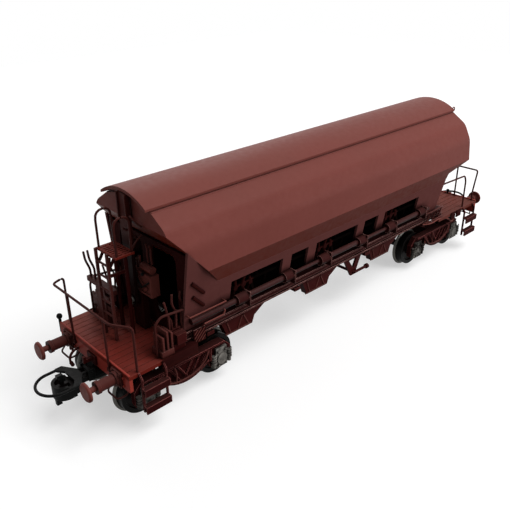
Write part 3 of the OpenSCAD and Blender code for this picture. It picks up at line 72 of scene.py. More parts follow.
lens = bpy.data.cameras.new("camera")
lens.sensor_width = SENSOR_MM
lens.lens = FOCAL_PX / FRAME_PX * SENSOR_MM
lens.shift_x = (FRAME_PX / 2 - CENTRE_PX.x) / FRAME_PX
lens.shift_y = (CENTRE_PX.y - FRAME_PX / 2) / FRAME_PX
lens.clip_start, lens.clip_end = CLIP_NEAR, CLIP_FAR
camera = bpy.data.objects.new("camera", lens)
bpy.context.collection.objects.link(camera)
axes = Matrix((right, up, -ahead)).transposed().to_4x4()
camera.matrix_world = Matrix.Translation(CAMERA_PLACE) @ axes
bpy.context.scene.camera = camera
bpy.context.scene.view_settings.view_transform = "Standard"
print("lens", round(lens.lens, 1), "mm")

# %% [markdown]
# ## The studio
# The car stands on a white table. One large soft lamp hangs over its right side,
# towards the far end, so the platform end falls into shade, as in the picture.
# A lower lamp lifts the long side and a weak one reaches the back.
# To the camera the table and the room are white, while the light that they
# send back to the car is weaker, so the underside keeps its depth. Light Path
# tells these rays apart.

# %% A switch between what is seen and what lights
SEEN_RAYS = ("Is Camera Ray", "Is Glossy Ray", "Is Transmission Ray")


def new_material(name):
    """An empty node material, its tree and its Principled shader."""
    material = bpy.data.materials.new(name)
    material.use_nodes = True
    return material, material.node_tree, material.node_tree.nodes["Principled BSDF"]


def seen_level(tree, lighting, seen):
    """The level lighting for light on the car, and seen for the eye and reflections."""
    path = tree.nodes.new("ShaderNodeLightPath")
    mask = path.outputs[SEEN_RAYS[0]]
    for ray in SEEN_RAYS[1:]:
        either = tree.nodes.new("ShaderNodeMath")
        either.operation = "MAXIMUM"
        tree.links.new(mask, either.inputs[0])
        tree.links.new(path.outputs[ray], either.inputs[1])
        mask = either.outputs[0]
    level = tree.nodes.new("ShaderNodeMapRange")
    level.inputs["To Min"].default_value = lighting
    level.inputs["To Max"].default_value = seen
    tree.links.new(mask, level.inputs["Value"])
    return level.outputs["Result"]


print("rays that see white:", SEEN_RAYS)

# %% Table
WHITE = (1, 1, 1, 1)
TABLE_SIZE = 0.9
TABLE_DROP = 0.02 * MM
TABLE_ROUGHNESS, TABLE_SPECULAR = 0.9, 0.1
TABLE_BOUNCE, TABLE_SEEN = 0.3, 0.55
TABLE_GLOW = 0.5

bpy.ops.object.select_all(action="DESELECT")
bpy.ops.mesh.primitive_plane_add(size=TABLE_SIZE, location=(0, 0, -TABLE_DROP))
table = bpy.context.object
table.name = "table"
table_material, table_tree, table_shader = new_material("white_table")
table_shader.inputs["Roughness"].default_value = TABLE_ROUGHNESS
table_shader.inputs["Specular IOR Level"].default_value = TABLE_SPECULAR
table_shader.inputs["Emission Color"].default_value = WHITE
table_tree.links.new(seen_level(table_tree, TABLE_BOUNCE, TABLE_SEEN),
                     table_shader.inputs["Base Color"])
table_tree.links.new(seen_level(table_tree, 0.0, TABLE_GLOW),
                     table_shader.inputs["Emission Strength"])
table.data.materials.append(table_material)
print("table of", TABLE_SIZE, "m")

# %% Room
ROOM_LIGHT, ROOM_SEEN = 0.25, 1.0

room = bpy.data.worlds.new("white_room")
bpy.context.scene.world = room
room.use_nodes = True
glow = room.node_tree.nodes["Background"]
glow.inputs["Color"].default_value = WHITE
room.node_tree.links.new(seen_level(room.node_tree, ROOM_LIGHT, ROOM_SEEN),
                         glow.inputs["Strength"])
print("room light", ROOM_LIGHT)

# %% Lamps
AIM = Vector((0, 0, 25)) * MM
LAMPS = {
    "top_lamp": {"place": (0.30, -0.40, 0.87), "size": 0.7, "watts": 8.4},
    "side_lamp": {"place": (0.35, -0.42, 0.12), "size": 0.3, "watts": 1.1},
    "back_lamp": {"place": (0.30, 0.60, 0.50), "size": 0.5, "watts": 1.7},
}


def soft_lamp(name, place, size, watts):
    """A square lamp at place, in metres, that looks at the middle of the car."""
    light = bpy.data.lights.new(name, "AREA")
    light.shape, light.size, light.energy = "SQUARE", size, watts
    lamp = bpy.data.objects.new(name, light)
    bpy.context.collection.objects.link(lamp)
    place = Vector(place)
    look = (AIM - place).to_track_quat("-Z", "Y").to_matrix().to_4x4()
    lamp.matrix_world = Matrix.Translation(place) @ look


for lamp_name, setting in LAMPS.items():
    soft_lamp(lamp_name, **setting)
print("lamps:", [light.name for light in bpy.data.lights])

# %% [markdown]
# ## One skin for moulded plastic
# Every painted piece of the real car is moulded plastic with a thin matt coat.
# Close up it is never one flat colour: the coat is a little thicker in places,
# edges are pale with wear and with painted highlight, dust settles on what faces
# up, and the mould leaves a fine grain. Painted shade, with some grime, darkens
# what faces down, and painted shade darkens the corners. Each finish could
# repeat these nodes. They are one shared node group instead, in which each
# finish sets its own colours and amounts.

# %% Colours and small node helpers


def tone(red, green, blue):
    """A colour given as 0 to 255, made linear for a shader."""
    def linear(v):
        v /= 255
        return v / 12.92 if v <= 0.04045 else ((v + 0.055) / 1.055) ** 2.4
    return (linear(red), linear(green), linear(blue), 1.0)


def new_group(name, inputs, outputs):
    """A shader group with named sockets, its entry and its exit."""
    group = bpy.data.node_groups.new(name, "ShaderNodeTree")
    for label, kind, value in inputs:
        socket = group.interface.new_socket(label, in_out="INPUT", socket_type=kind)
        socket.default_value = value
    for label, kind in outputs:
        group.interface.new_socket(label, in_out="OUTPUT", socket_type=kind)
    return group, group.nodes.new("NodeGroupInput"), group.nodes.new("NodeGroupOutput")


def fill(tree, socket, operand):
    """Sets a socket to a constant, or links another socket to it."""
    if isinstance(operand, (int, float, tuple)):
        socket.default_value = operand
    else:
        tree.links.new(operand, socket)


def math_node(tree, operation, first, second=0.0, clamp=False):
    """A math node. Each operand is a socket or a number."""
    node = tree.nodes.new("ShaderNodeMath")
    node.operation, node.use_clamp = operation, clamp
    fill(tree, node.inputs[0], first)
    fill(tree, node.inputs[1], second)
    return node.outputs[0]


def blend_node(tree, amount, first, second):
    """A colour that goes from first to second as amount goes from 0 to 1."""
    node = tree.nodes.new("ShaderNodeMix")
    node.data_type = "RGBA"
    fill(tree, node.inputs["Factor"], amount)
    fill(tree, node.inputs[6], first)
    fill(tree, node.inputs[7], second)
    return node.outputs[2]


def noise_node(tree, coords, scale, detail=3.0):
    """A noise value between about 0.3 and 0.7."""
    node = tree.nodes.new("ShaderNodeTexNoise")
    node.inputs["Scale"].default_value = scale
    node.inputs["Detail"].default_value = detail
    tree.links.new(coords, node.inputs["Vector"])
    return node.outputs[0]


print("a middle grey is", [round(v, 3) for v in tone(128, 128, 128)[:3]])

# %% The skin's sockets and noises
FLOAT, COLOR, VECTOR = "NodeSocketFloat", "NodeSocketColor", "NodeSocketVector"
EDGE_WIDTH = 0.16 * MM
CLOUD_SCALE, SPECKLE_SCALE, GRAIN_SCALE = 60, 800, 9000

skin, skin_in, skin_out = new_group(
    "moulded_skin",
    [("Paint", COLOR, (0.5, 0.5, 0.5, 1)), ("Thin paint", COLOR, (0.4, 0.4, 0.4, 1)),
     ("Worn edge", COLOR, (0.6, 0.6, 0.6, 1)), ("Grime colour", COLOR, (0.05, 0.03, 0.02, 1)),
     ("Wear", FLOAT, 0.3), ("Dust", FLOAT, 0.1), ("Grime", FLOAT, 0.5),
     ("Roughness", FLOAT, 0.5), ("Grain", FLOAT, 0.1), ("Edge", FLOAT, EDGE_WIDTH),
     ("Patchy", FLOAT, 1.0), ("Crevice", FLOAT, 0.7)],
    [("Colour", COLOR), ("Roughness", FLOAT), ("Normal", VECTOR)])
skin_math = partial(math_node, skin)
skin_place = skin.nodes.new("ShaderNodeTexCoord").outputs["Object"]
surface = skin.nodes.new("ShaderNodeNewGeometry")
cloudy = noise_node(skin, skin_place, CLOUD_SCALE)
speckle = noise_node(skin, skin_place, SPECKLE_SCALE, detail=4)
mould_grain = noise_node(skin, skin_place, GRAIN_SCALE, detail=2)
print("noise scales", CLOUD_SCALE, SPECKLE_SCALE, GRAIN_SCALE)

# %% Where the coat is thin, and where edges are worn and highlighted
CLOUD_SHARE, SPECKLE_SHARE = 0.9, 0.5
PATCH_MIDDLE, THIN_MIDDLE = 0.7, 0.45
EDGE_SAMPLES, EDGE_GAIN, EDGE_SPECKLE = 4, 5.0, 1.7

patches = skin_math("ADD", skin_math("MULTIPLY", cloudy, CLOUD_SHARE),
                    skin_math("MULTIPLY", speckle, SPECKLE_SHARE))
patches = skin_math("SUBTRACT", patches, PATCH_MIDDLE)
patches = skin_math("MULTIPLY", patches, skin_in.outputs["Patchy"])
thinness = skin_math("ADD", patches, THIN_MIDDLE, clamp=True)
coat = blend_node(skin, thinness, skin_in.outputs["Paint"], skin_in.outputs["Thin paint"])

# Wear and painted highlight: the pale edge colour is laid along every edge, standing for light
# caught on edges as well as wear.
rounded = skin.nodes.new("ShaderNodeBevel")
rounded.samples = EDGE_SAMPLES
skin.links.new(skin_in.outputs["Edge"], rounded.inputs["Radius"])
facing = skin.nodes.new("ShaderNodeVectorMath")
facing.operation = "DOT_PRODUCT"
skin.links.new(rounded.outputs["Normal"], facing.inputs[0])
skin.links.new(surface.outputs["Normal"], facing.inputs[1])
turned = skin_math("SUBTRACT", 1.0, facing.outputs["Value"])
edge = skin_math("MULTIPLY", turned, EDGE_GAIN, clamp=True)
edge = skin_math("MULTIPLY", edge, skin_in.outputs["Wear"])
edge = skin_math("MULTIPLY", edge, skin_math("MULTIPLY", speckle, EDGE_SPECKLE), clamp=True)
worn = blend_node(skin, edge, coat, skin_in.outputs["Worn edge"])
print("edges wear over", round(EDGE_WIDTH / MM, 2), "mm")

# %% Dust, and painted shade below and in corners
DUST_FOCUS, DUST_CLOUDS, DUST_COLOUR = 3.0, 1.6, tone(176, 150, 142)
UNDER_FROM, UNDER_GAIN = 0.04, 4.0
CORNER_REACH, CORNER_SAMPLES = 2.2 * MM, 6
CORNER_FROM, CORNER_GAIN, CORNER_COLOUR = 0.88, 1.7, tone(14, 3, 3)

upward = skin.nodes.new("ShaderNodeSeparateXYZ")
skin.links.new(surface.outputs["Normal"], upward.inputs[0])
lying = skin_math("POWER", skin_math("MAXIMUM", upward.outputs["Z"], 0.0), DUST_FOCUS)
settled = skin_math("MULTIPLY", skin_in.outputs["Dust"],
                    skin_math("MULTIPLY", cloudy, DUST_CLOUDS))
lying = skin_math("MULTIPLY", lying, settled, clamp=True)
dusty = blend_node(skin, lying, worn, DUST_COLOUR)

# Painted shade, with some grime: faces that look down blend to the darker underside colour.
downward = skin_math("MULTIPLY", upward.outputs["Z"], -1.0)
hanging = skin_math("SUBTRACT", downward, UNDER_FROM)
hanging = skin_math("MULTIPLY", hanging, UNDER_GAIN, clamp=True)
hanging = skin_math("MULTIPLY", hanging, skin_in.outputs["Grime"], clamp=True)
grimy = blend_node(skin, hanging, dusty, skin_in.outputs["Grime colour"])

# Painted shade: ambient occlusion darkens corners and recesses within the reach.
corner = skin.nodes.new("ShaderNodeAmbientOcclusion")
corner.samples = CORNER_SAMPLES
corner.inputs["Distance"].default_value = CORNER_REACH
hidden = skin_math("SUBTRACT", CORNER_FROM, corner.outputs["AO"])
hidden = skin_math("MULTIPLY", hidden, CORNER_GAIN, clamp=True)
hidden = skin_math("MULTIPLY", hidden, skin_in.outputs["Crevice"], clamp=True)
washed = blend_node(skin, hidden, grimy, CORNER_COLOUR)
skin.links.new(washed, skin_out.inputs["Colour"])
print("corners darken within", round(CORNER_REACH / MM, 1), "mm")

# %% Sheen and grain
NOISE_MIDDLE, SHEEN_SPREAD = 0.5, 0.3
GRAIN_DEPTH = 0.03 * MM

sheen = skin_math("MULTIPLY", skin_math("SUBTRACT", speckle, NOISE_MIDDLE), SHEEN_SPREAD)
sheen = skin_math("ADD", skin_in.outputs["Roughness"], sheen, clamp=True)
skin.links.new(sheen, skin_out.inputs["Roughness"])
bump = skin.nodes.new("ShaderNodeBump")
bump.inputs["Distance"].default_value = GRAIN_DEPTH
skin.links.new(skin_in.outputs["Grain"], bump.inputs["Strength"])
skin.links.new(mould_grain, bump.inputs["Height"])
skin.links.new(rounded.outputs["Normal"], bump.inputs["Normal"])
skin.links.new(bump.outputs["Normal"], skin_out.inputs["Normal"])
print("moulded_skin has", len(skin.nodes), "nodes")

# %% [markdown]
# ## The car's finishes
# Tank and roof are a matt oxide red, the sills, tubes and bogies are darker
# browns, the couplers are black and the axle boxes grey. One paint for all could
# do, but the real car's shades differ from piece to piece, so each finish has
# three colours of its own: the paint, the paint where it is thin, and the edge,
# pale with wear and painted highlight. Many also set the painted shade, with
# some grime, on what faces down, and the darkest brown and black are painted
# shade for pieces that stand in it. Little gloss is left on them, because dark
# matt plastic that mirrors a white table turns grey.

# %% Finishes made with the skin
# The default underside colour is painted shade, with some grime, on what faces down.
UNDERSIDE, SPECULAR = (60, 17, 11), 0.03
WIDE_EDGE, FINE_EDGE = 0.24 * MM, 0.08 * MM


def moulded(name, paint, thin, worn, underside=UNDERSIDE, specular=SPECULAR, **amounts):
    """A finish of moulded plastic, in colours from 0 to 255."""
    material, tree, shader = new_material(name)
    coat_node = tree.nodes.new("ShaderNodeGroup")
    coat_node.node_tree = skin
    colours = {"Paint": paint, "Thin paint": thin, "Worn edge": worn, "Grime colour": underside}
    for label, colour in colours.items():
        coat_node.inputs[label].default_value = tone(*colour)
    for label, value in amounts.items():
        coat_node.inputs[label.capitalize()].default_value = value
    tree.links.new(coat_node.outputs["Colour"], shader.inputs["Base Color"])
    tree.links.new(coat_node.outputs["Roughness"], shader.inputs["Roughness"])
    tree.links.new(coat_node.outputs["Normal"], shader.inputs["Normal"])
    shader.inputs["Specular IOR Level"].default_value = specular
    return material


def coat_of(material):
    """The skin's node in a finish."""
    return next(node for node in material.node_tree.nodes
                if node.type == "GROUP" and node.node_tree == skin)


oxide_red = moulded(
    "oxide_red_paint", (117, 62, 56), (104, 53, 47), (156, 100, 92), underside=(80, 21, 6),
    specular=0.045, wear=0.35, dust=0.05, grime=0.9, roughness=0.46)
beam_red = moulded(
    "buffer_beam_red", (160, 62, 52), (140, 50, 41), (180, 106, 92),
    wear=0.4, dust=0.05, grime=0.6, roughness=0.42)
lower_red = moulded(
    "lower_body_paint", (109, 66, 63), (94, 54, 52), (160, 114, 108),
    specular=0.01, wear=0.5, dust=0.05, grime=0.5, roughness=0.6)
# The sill's wide, bright edges are mostly painted highlight.
sill_red = moulded(
    "sill_paint", (57, 21, 20), (44, 15, 14), (200, 150, 142), underside=(26, 6, 5),
    specular=0.02, wear=1.0, dust=0.03, grime=0.8, roughness=0.48, edge=WIDE_EDGE)
tube_red = moulded(
    "tube_paint", (60, 25, 24), (47, 18, 17), (150, 100, 94), underside=(20, 5, 4),
    specular=0.05, wear=0.3, dust=0.05, grime=1.0, roughness=0.34)
lever_red = moulded(
    "lever_red", (88, 43, 39), (62, 29, 26), (160, 112, 104),
    wear=0.5, dust=0.04, grime=0.6, roughness=0.45, edge=FINE_EDGE, patchy=2.0)
reds = (oxide_red, beam_red, lower_red, sill_red, tube_red, lever_red)
print("reds:", [finish.name for finish in reds])

# %% Browns, blacks and greys
frame_brown = moulded(
    "underframe_brown", (60, 17, 16), (46, 12, 11), (150, 86, 79), underside=(34, 8, 6),
    specular=0.02, wear=0.5, dust=0.03, grime=0.6, roughness=0.5)
arm_brown = moulded(
    "roof_arm_brown", (68, 26, 22), (54, 19, 16), (138, 80, 71),
    specular=0.04, wear=0.5, dust=0.03, grime=0.4, roughness=0.5)
# The bogie's wide, bright edges are partly painted highlight.
bogie_brown = moulded(
    "bogie_brown", (50, 11, 11), (36, 7, 7), (176, 102, 97),
    specular=0.02, wear=0.9, dust=0.03, grime=0.5, roughness=0.6, grain=0.2, edge=WIDE_EDGE)
wire_brown = moulded(
    "wire_brown", (70, 31, 28), (56, 24, 21), (110, 62, 56),
    wear=0.1, dust=0.05, grime=0.3, roughness=0.42)
# Painted shade: a dark brown for pieces that stand in shade, such as the near end wall, the pivot
# stands, the cranks and the deck skirts.
shadow_brown = moulded(
    "inner_brown", (44, 11, 10), (30, 7, 6), (90, 40, 36),
    wear=0.2, dust=0.0, grime=0.5, roughness=0.8)
# Painted shade: near black for the sheets and parts deep inside the body.
inner_black = moulded(
    "inner_black", (13, 7, 6), (9, 5, 4), (40, 20, 18), underside=(8, 4, 4),
    specular=0.0, wear=0.2, dust=0.0, grime=0.5, roughness=0.9)
coupler_black = moulded(
    "coupler_plastic", (6, 7, 7), (4, 4, 4), (50, 54, 54), underside=(3, 3, 3),
    specular=0.06, wear=0.35, dust=0.01, roughness=0.45)
box_grey = moulded(
    "axle_box_grey", (132, 128, 122), (26, 22, 20), (150, 146, 138), underside=(20, 17, 15),
    wear=0.4, dust=0.05, roughness=0.5, grain=0.3, patchy=4.5)
pin_steel = moulded(
    "pin_steel", (120, 118, 114), (92, 90, 86), (190, 188, 184), underside=(50, 48, 45),
    wear=0.5, dust=0.02, roughness=0.35)
pin_steel.node_tree.nodes["Principled BSDF"].inputs["Metallic"].default_value = 1.0
others = (frame_brown, arm_brown, bogie_brown, wire_brown, shadow_brown, inner_black,
          coupler_black, box_grey, pin_steel)
print("other finishes:", [finish.name for finish in others])

# %% [markdown]
# ## Painted shade on the lower walls
# The lower walls get painted shade close above the sill, under the tubes,
# where little light reaches. A painted mask could show it, but the height of a
# point already tells how dark it is, and a noise breaks the line up. The two
# ends of the walls, where more light comes round, stay lighter. The same group
# paints shade on the foot of the roof arms.

# %% Painted low shade group
FAR_OFF = 999 * MM
RAGGED_SCALE, RAGGED_HEIGHT = 300, 2.5 * MM
SPLASH_STRENGTH, SPLASH_COLOUR = 0.95, tone(16, 3, 3)

splash, splash_in, splash_out = new_group(
    "splashed_dirt",
    [("Colour", COLOR, (0.5, 0.5, 0.5, 1)), ("Top", FLOAT, 0.0), ("Fade", FLOAT, MM),
     ("Clean near", FLOAT, -FAR_OFF), ("Clean far", FLOAT, FAR_OFF), ("Clean fade", FLOAT, MM)],
    [("Colour", COLOR)])
splash_math = partial(math_node, splash)
splash_place = splash.nodes.new("ShaderNodeTexCoord").outputs["Object"]
splash_split = splash.nodes.new("ShaderNodeSeparateXYZ")
splash.links.new(splash_place, splash_split.inputs[0])
along, above = splash_split.outputs["X"], splash_split.outputs["Z"]


def splash_ramp(high, low, fade):
    """A mask that is 0 where high reaches low, and 1 where it is a fade above it."""
    over = splash_math("SUBTRACT", high, low)
    return splash_math("DIVIDE", over, splash_in.outputs[fade], clamp=True)


# Painted shade: below the top line the colour turns dark, except near the two ends of the walls.
ragged = splash_math("SUBTRACT", noise_node(splash, splash_place, RAGGED_SCALE), NOISE_MIDDLE)
height = splash_math("ADD", above, splash_math("MULTIPLY", ragged, RAGGED_HEIGHT))
dirty = splash_math("SUBTRACT", 1.0, splash_ramp(height, splash_in.outputs["Top"], "Fade"))
between = splash_math("MULTIPLY",
                      splash_ramp(along, splash_in.outputs["Clean near"], "Clean fade"),
                      splash_ramp(splash_in.outputs["Clean far"], along, "Clean fade"))
dirty = splash_math("MULTIPLY", splash_math("MULTIPLY", dirty, between), SPLASH_STRENGTH)
splash.links.new(blend_node(splash, dirty, splash_in.outputs["Colour"], SPLASH_COLOUR),
                 splash_out.inputs["Colour"])
print("splashed_dirt has", len(splash.nodes), "nodes")

# %% Painted shade on the walls and the arms


def splashed(material, **lines):
    """Lays the painted low shade over a finish. The lines are in mm."""
    tree = material.node_tree
    splash_node = tree.nodes.new("ShaderNodeGroup")
    splash_node.node_tree = splash
    for label, value in lines.items():
        splash_node.inputs[label.replace("_", " ").capitalize()].default_value = value * MM
    tree.links.new(coat_of(material).outputs["Colour"], splash_node.inputs["Colour"])
    tree.links.new(splash_node.outputs["Colour"],
                   tree.nodes["Principled BSDF"].inputs["Base Color"])


# Painted shade on the low walls above the sill and on the foot of the roof arms.
splashed(lower_red, top=20.6, fade=2.2, clean_near=-48, clean_far=42, clean_fade=7)
splashed(arm_brown, top=34, fade=6)
print("splashed:", lower_red.name, "and", arm_brown.name)

# %% [markdown]
# ## Deck boards
# The end decks are moulded as narrow boards that run along the car. Each board
# has its own shade and a grain drawn out along its length, and on the near deck
# painted light makes the boards paler towards the left side. Every board could
# have a material. A small group does it with one: it turns the place across the
# deck into a board number, and that number into a shade.

# %% Board group
deck_low, deck_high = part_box("deck_near")
BOARD_COUNT = 16
BOARD_WIDTH = (deck_high.y - deck_low.y) / BOARD_COUNT
BOARD_STRETCH = (60, 900, 900)
SHADE_SHARE, BOARD_GRAIN_FROM = 0.55, 0.35

boards, boards_in, boards_out = new_group(
    "deck_boards",
    [("Light board", COLOR, tone(122, 37, 28)), ("Dark board", COLOR, tone(90, 26, 19)),
     ("Faded board", COLOR, tone(200, 106, 92)), ("Fading", FLOAT, 0.0)],
    [("Colour", COLOR)])
board_math = partial(math_node, boards)
board_place = boards.nodes.new("ShaderNodeTexCoord").outputs["Object"]
board_split = boards.nodes.new("ShaderNodeSeparateXYZ")
boards.links.new(board_place, board_split.inputs[0])
across = board_split.outputs["Y"]
number = board_math("FLOOR", board_math("DIVIDE", across, BOARD_WIDTH))
shade = boards.nodes.new("ShaderNodeTexWhiteNoise")
shade.noise_dimensions = "1D"
boards.links.new(number, shade.inputs["W"])
drawn_out = boards.nodes.new("ShaderNodeMapping")
drawn_out.inputs["Scale"].default_value = BOARD_STRETCH
boards.links.new(board_place, drawn_out.inputs["Vector"])
grain_line = noise_node(boards, drawn_out.outputs["Vector"], 1.0, detail=4)
darkness = board_math("ADD", board_math("MULTIPLY", shade.outputs["Value"], SHADE_SHARE),
                      board_math("SUBTRACT", grain_line, BOARD_GRAIN_FROM), clamp=True)
shaded = blend_node(boards, darkness, boards_in.outputs["Light board"],
                    boards_in.outputs["Dark board"])
# Painted light: towards the left side of the deck the boards turn paler.
faded = board_math("MULTIPLY", board_math("DIVIDE", across, deck_high.y, clamp=True),
                   boards_in.outputs["Fading"])
boards.links.new(blend_node(boards, faded, shaded, boards_in.outputs["Faded board"]),
                 boards_out.inputs["Colour"])
print("boards", BOARD_COUNT, "of", round(BOARD_WIDTH / MM, 2), "mm")

# %% Deck finishes
WORN_BOARD = (160, 92, 78)


def deck_finish(name, light, dark, fading):
    """Boards in two shades under the moulded skin, with painted light towards the left side."""
    material = moulded(name, light, dark, WORN_BOARD, wear=0.4, dust=0.05, roughness=0.5)
    board_node = material.node_tree.nodes.new("ShaderNodeGroup")
    board_node.node_tree = boards
    board_node.inputs["Light board"].default_value = tone(*light)
    board_node.inputs["Dark board"].default_value = tone(*dark)
    board_node.inputs["Fading"].default_value = fading
    material.node_tree.links.new(board_node.outputs["Colour"], coat_of(material).inputs["Paint"])
    return material


# The near deck gets painted light towards its left side, the far deck none.
near_boards = deck_finish("near_deck_boards", (126, 39, 29), (92, 27, 20), 0.9)
far_boards = deck_finish("far_deck_boards", (112, 52, 42), (80, 35, 28), 0.0)
print("deck finishes:", near_boards.name, "and", far_boards.name)

# %% [markdown]
# ## Wheels
# The wheels are blackened metal, and running on the rail keeps the tread and
# the flange bright. The wheel could be cut into two pieces for this, but
# distance from the axle tells the two apart, so the group takes the axle's
# place and gives a mask. Each wheelset has its own material, because each has
# its own axle.

# %% Wheel group
TREAD_FROM, TREAD_SHARPNESS = 5.25 * MM, 9000
RING_PITCH = 0.12 * MM

rings, rings_in, rings_out = new_group(
    "wheel_rings", [("Axle X", FLOAT, 0.0), ("Axle Z", FLOAT, 0.0)],
    [("Tread", FLOAT), ("Rings", FLOAT)])
ring_math = partial(math_node, rings)
wheel_place = rings.nodes.new("ShaderNodeTexCoord").outputs["Object"]
wheel_split = rings.nodes.new("ShaderNodeSeparateXYZ")
rings.links.new(wheel_place, wheel_split.inputs[0])
off_x = ring_math("SUBTRACT", wheel_split.outputs["X"], rings_in.outputs["Axle X"])
off_z = ring_math("SUBTRACT", wheel_split.outputs["Z"], rings_in.outputs["Axle Z"])
square = ring_math("ADD", ring_math("MULTIPLY", off_x, off_x), ring_math("MULTIPLY", off_z, off_z))
radius = ring_math("SQRT", square)
past = ring_math("SUBTRACT", radius, TREAD_FROM)
rings.links.new(ring_math("MULTIPLY", past, TREAD_SHARPNESS, clamp=True),
                rings_out.inputs["Tread"])
wave = ring_math("SINE", ring_math("MULTIPLY", radius, 2 * math.pi / RING_PITCH))
rings.links.new(ring_math("ADD", ring_math("MULTIPLY", wave, 0.5), 0.5),
                rings_out.inputs["Rings"])
print("wheel_rings has", len(rings.nodes), "nodes")

# %% Wheel finishes
TREAD_TONE, TREAD_METAL = tone(84, 82, 78), 0.6
RING_POLISH, TREAD_POLISH = 0.08, 0.12


def wheel_finish(node):
    """Blackened wheel with a bright tread, centred on this wheelset's axle."""
    low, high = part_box(node)
    axle = (low + high) / 2
    material = moulded(node + "_metal", (14, 13, 12), (8, 8, 7), (76, 73, 69),
                       underside=(6, 6, 5), specular=0.05, wear=0.4, dust=0.01, roughness=0.45)
    tree, coat_node = material.node_tree, coat_of(material)
    shader = tree.nodes["Principled BSDF"]
    ring_node = tree.nodes.new("ShaderNodeGroup")
    ring_node.node_tree = rings
    ring_node.inputs["Axle X"].default_value = axle.x
    ring_node.inputs["Axle Z"].default_value = axle.z
    tread = ring_node.outputs["Tread"]
    tree.links.new(blend_node(tree, tread, coat_node.outputs["Colour"], TREAD_TONE),
                   shader.inputs["Base Color"])
    tree.links.new(math_node(tree, "MULTIPLY", tread, TREAD_METAL), shader.inputs["Metallic"])
    polish = math_node(tree, "ADD",
                       math_node(tree, "MULTIPLY", ring_node.outputs["Rings"], RING_POLISH),
                       math_node(tree, "MULTIPLY", tread, TREAD_POLISH))
    tree.links.new(math_node(tree, "SUBTRACT", coat_node.outputs["Roughness"], polish),
                   shader.inputs["Roughness"])
    return material


wheel_metal = {node: wheel_finish(node) for node in (f"wheelset_{i}" for i in range(1, 5))}
print("wheel finishes:", list(wheel_metal))

# %% [markdown]
# ## A finish for every solid
# On the real car a piece has one colour all over, so each solid gets one
# finish. The list goes from finish to pieces, which shows at a glance what is
# moulded in the same shade, and the print tells if a solid was forgotten.

# %% Give every solid its finish
finish_of = {
    oxide_red: ["hopper_tank", "roof_shell", "control_box", "buffer_near_right",
                "buffer_near_left", "buffer_far_right", "buffer_far_left"],
    beam_red: ["headstock_near", "headstock_far"],
    lower_red: ["side_wall_right", "side_wall_left", "end_wall_far"],
    tube_red: ["discharge_tubes"],
    arm_brown: ["roof_arms"],
    sill_red: ["side_sill_right", "side_sill_left", "tube_brackets"],
    frame_brown: ["underframe", "chutes", "platform_posts", "gear_boxes",
                  "brake_rigging", "draw_hooks", "coupler_pockets"],
    lever_red: ["ladder", "brake_stand", "buffer_sleeves"],
    wire_brown: ["hoop_rails", "end_rail_near", "far_rails", "lever_loops",
                 "brake_levers", "grab_loops"],
    bogie_brown: ["bogie_frame_near", "bogie_frame_far", "steps"],
    # Painted shade: parts deep inside get near black, and the near end wall and pivot stands,
    # which face away from the lamps, the dark shade brown.
    inner_black: ["saddle_floor", "lever_shafts", "ballast_weight"],
    shadow_brown: ["end_wall_near", "pivot_stands"],
    coupler_black: ["coupler_hook_near", "coupler_loop_near", "coupler_hook_far",
                    "coupler_loop_far", "corner_lever"],
    box_grey: ["axle_boxes_near", "axle_boxes_far"],
    pin_steel: ["roof_pins", "buffer_springs", "coupler_pins", "bogie_screws"],
    near_boards: ["deck_near", "upper_platform"],
    far_boards: ["deck_far"],
}
for node, metal in wheel_metal.items():
    finish_of[metal] = [node]
finished = set()
for finish, names in finish_of.items():
    for name in names:
        slots = nodes[name].data.materials
        slots.clear()
        slots.append(finish)
        finished.add(name)
print("finished", len(finished), "of", len(nodes), "nodes; left:", sorted(set(nodes) - finished))

# %% [markdown]
# ## Tools for the added pieces
# The solids carry every main form. What they leave out is small: levers, pipes,
# springs, bolts and stiffening fins. A wire starts as a curve along its route
# and is turned into a mesh. A plate starts as a cube whose edges are bevelled,
# because a moulded edge is never sharp. Measures are in millimetres. Each piece
# ends with its place in its mesh and rides on a body of the car.

# %% Selecting, joining and copying


def put_down():
    """Nothing is left selected."""
    bpy.ops.object.select_all(action="DESELECT")


def pick_up(*pieces):
    """Selects these pieces, with the first one active."""
    put_down()
    for piece in pieces:
        piece.select_set(True)
    bpy.context.view_layer.objects.active = pieces[0]


def joined(pieces):
    """Several pieces as one."""
    pick_up(*pieces)
    if len(pieces) > 1:
        bpy.ops.object.join()
    return bpy.context.object


def copied(piece, places):
    """Copies of the piece, moved by each of places in mm, as one piece."""
    everything = []
    for place in places:
        other = piece.copy()
        other.data = piece.data.copy()
        other.location = piece.location + Vector(place) * MM
        bpy.context.collection.objects.link(other)
        everything.append(other)
    bpy.data.objects.remove(piece)
    return joined(everything)


put_down()
print("selected now:", len(bpy.context.selected_objects))

# %% Wires
WIRE_ROUNDNESS, WIRE_STEPS = 2, 5


def wire(points, thick, bend="AUTO"):
    """A round wire through points in mm."""
    route = bpy.data.curves.new("wire", "CURVE")
    route.dimensions = "3D"
    route.bevel_depth, route.bevel_resolution = thick / 2 * MM, WIRE_ROUNDNESS
    route.resolution_u, route.use_fill_caps = WIRE_STEPS, True
    strand = route.splines.new("BEZIER")
    strand.bezier_points.add(len(points) - 1)
    for knot, point in zip(strand.bezier_points, points):
        knot.co = Vector(point) * MM
        knot.handle_left_type = knot.handle_right_type = bend
    piece = bpy.data.objects.new("wire", route)
    bpy.context.collection.objects.link(piece)
    pick_up(piece)
    bpy.ops.object.convert(target="MESH")
    return bpy.context.object


def side_wire(side, points, thick, bend="AUTO"):
    """A wire whose points are given for the left side."""
    return wire([(x, side * y, z) for x, y, z in points], thick, bend)


print("wires bend in", WIRE_STEPS, "steps from point to point")

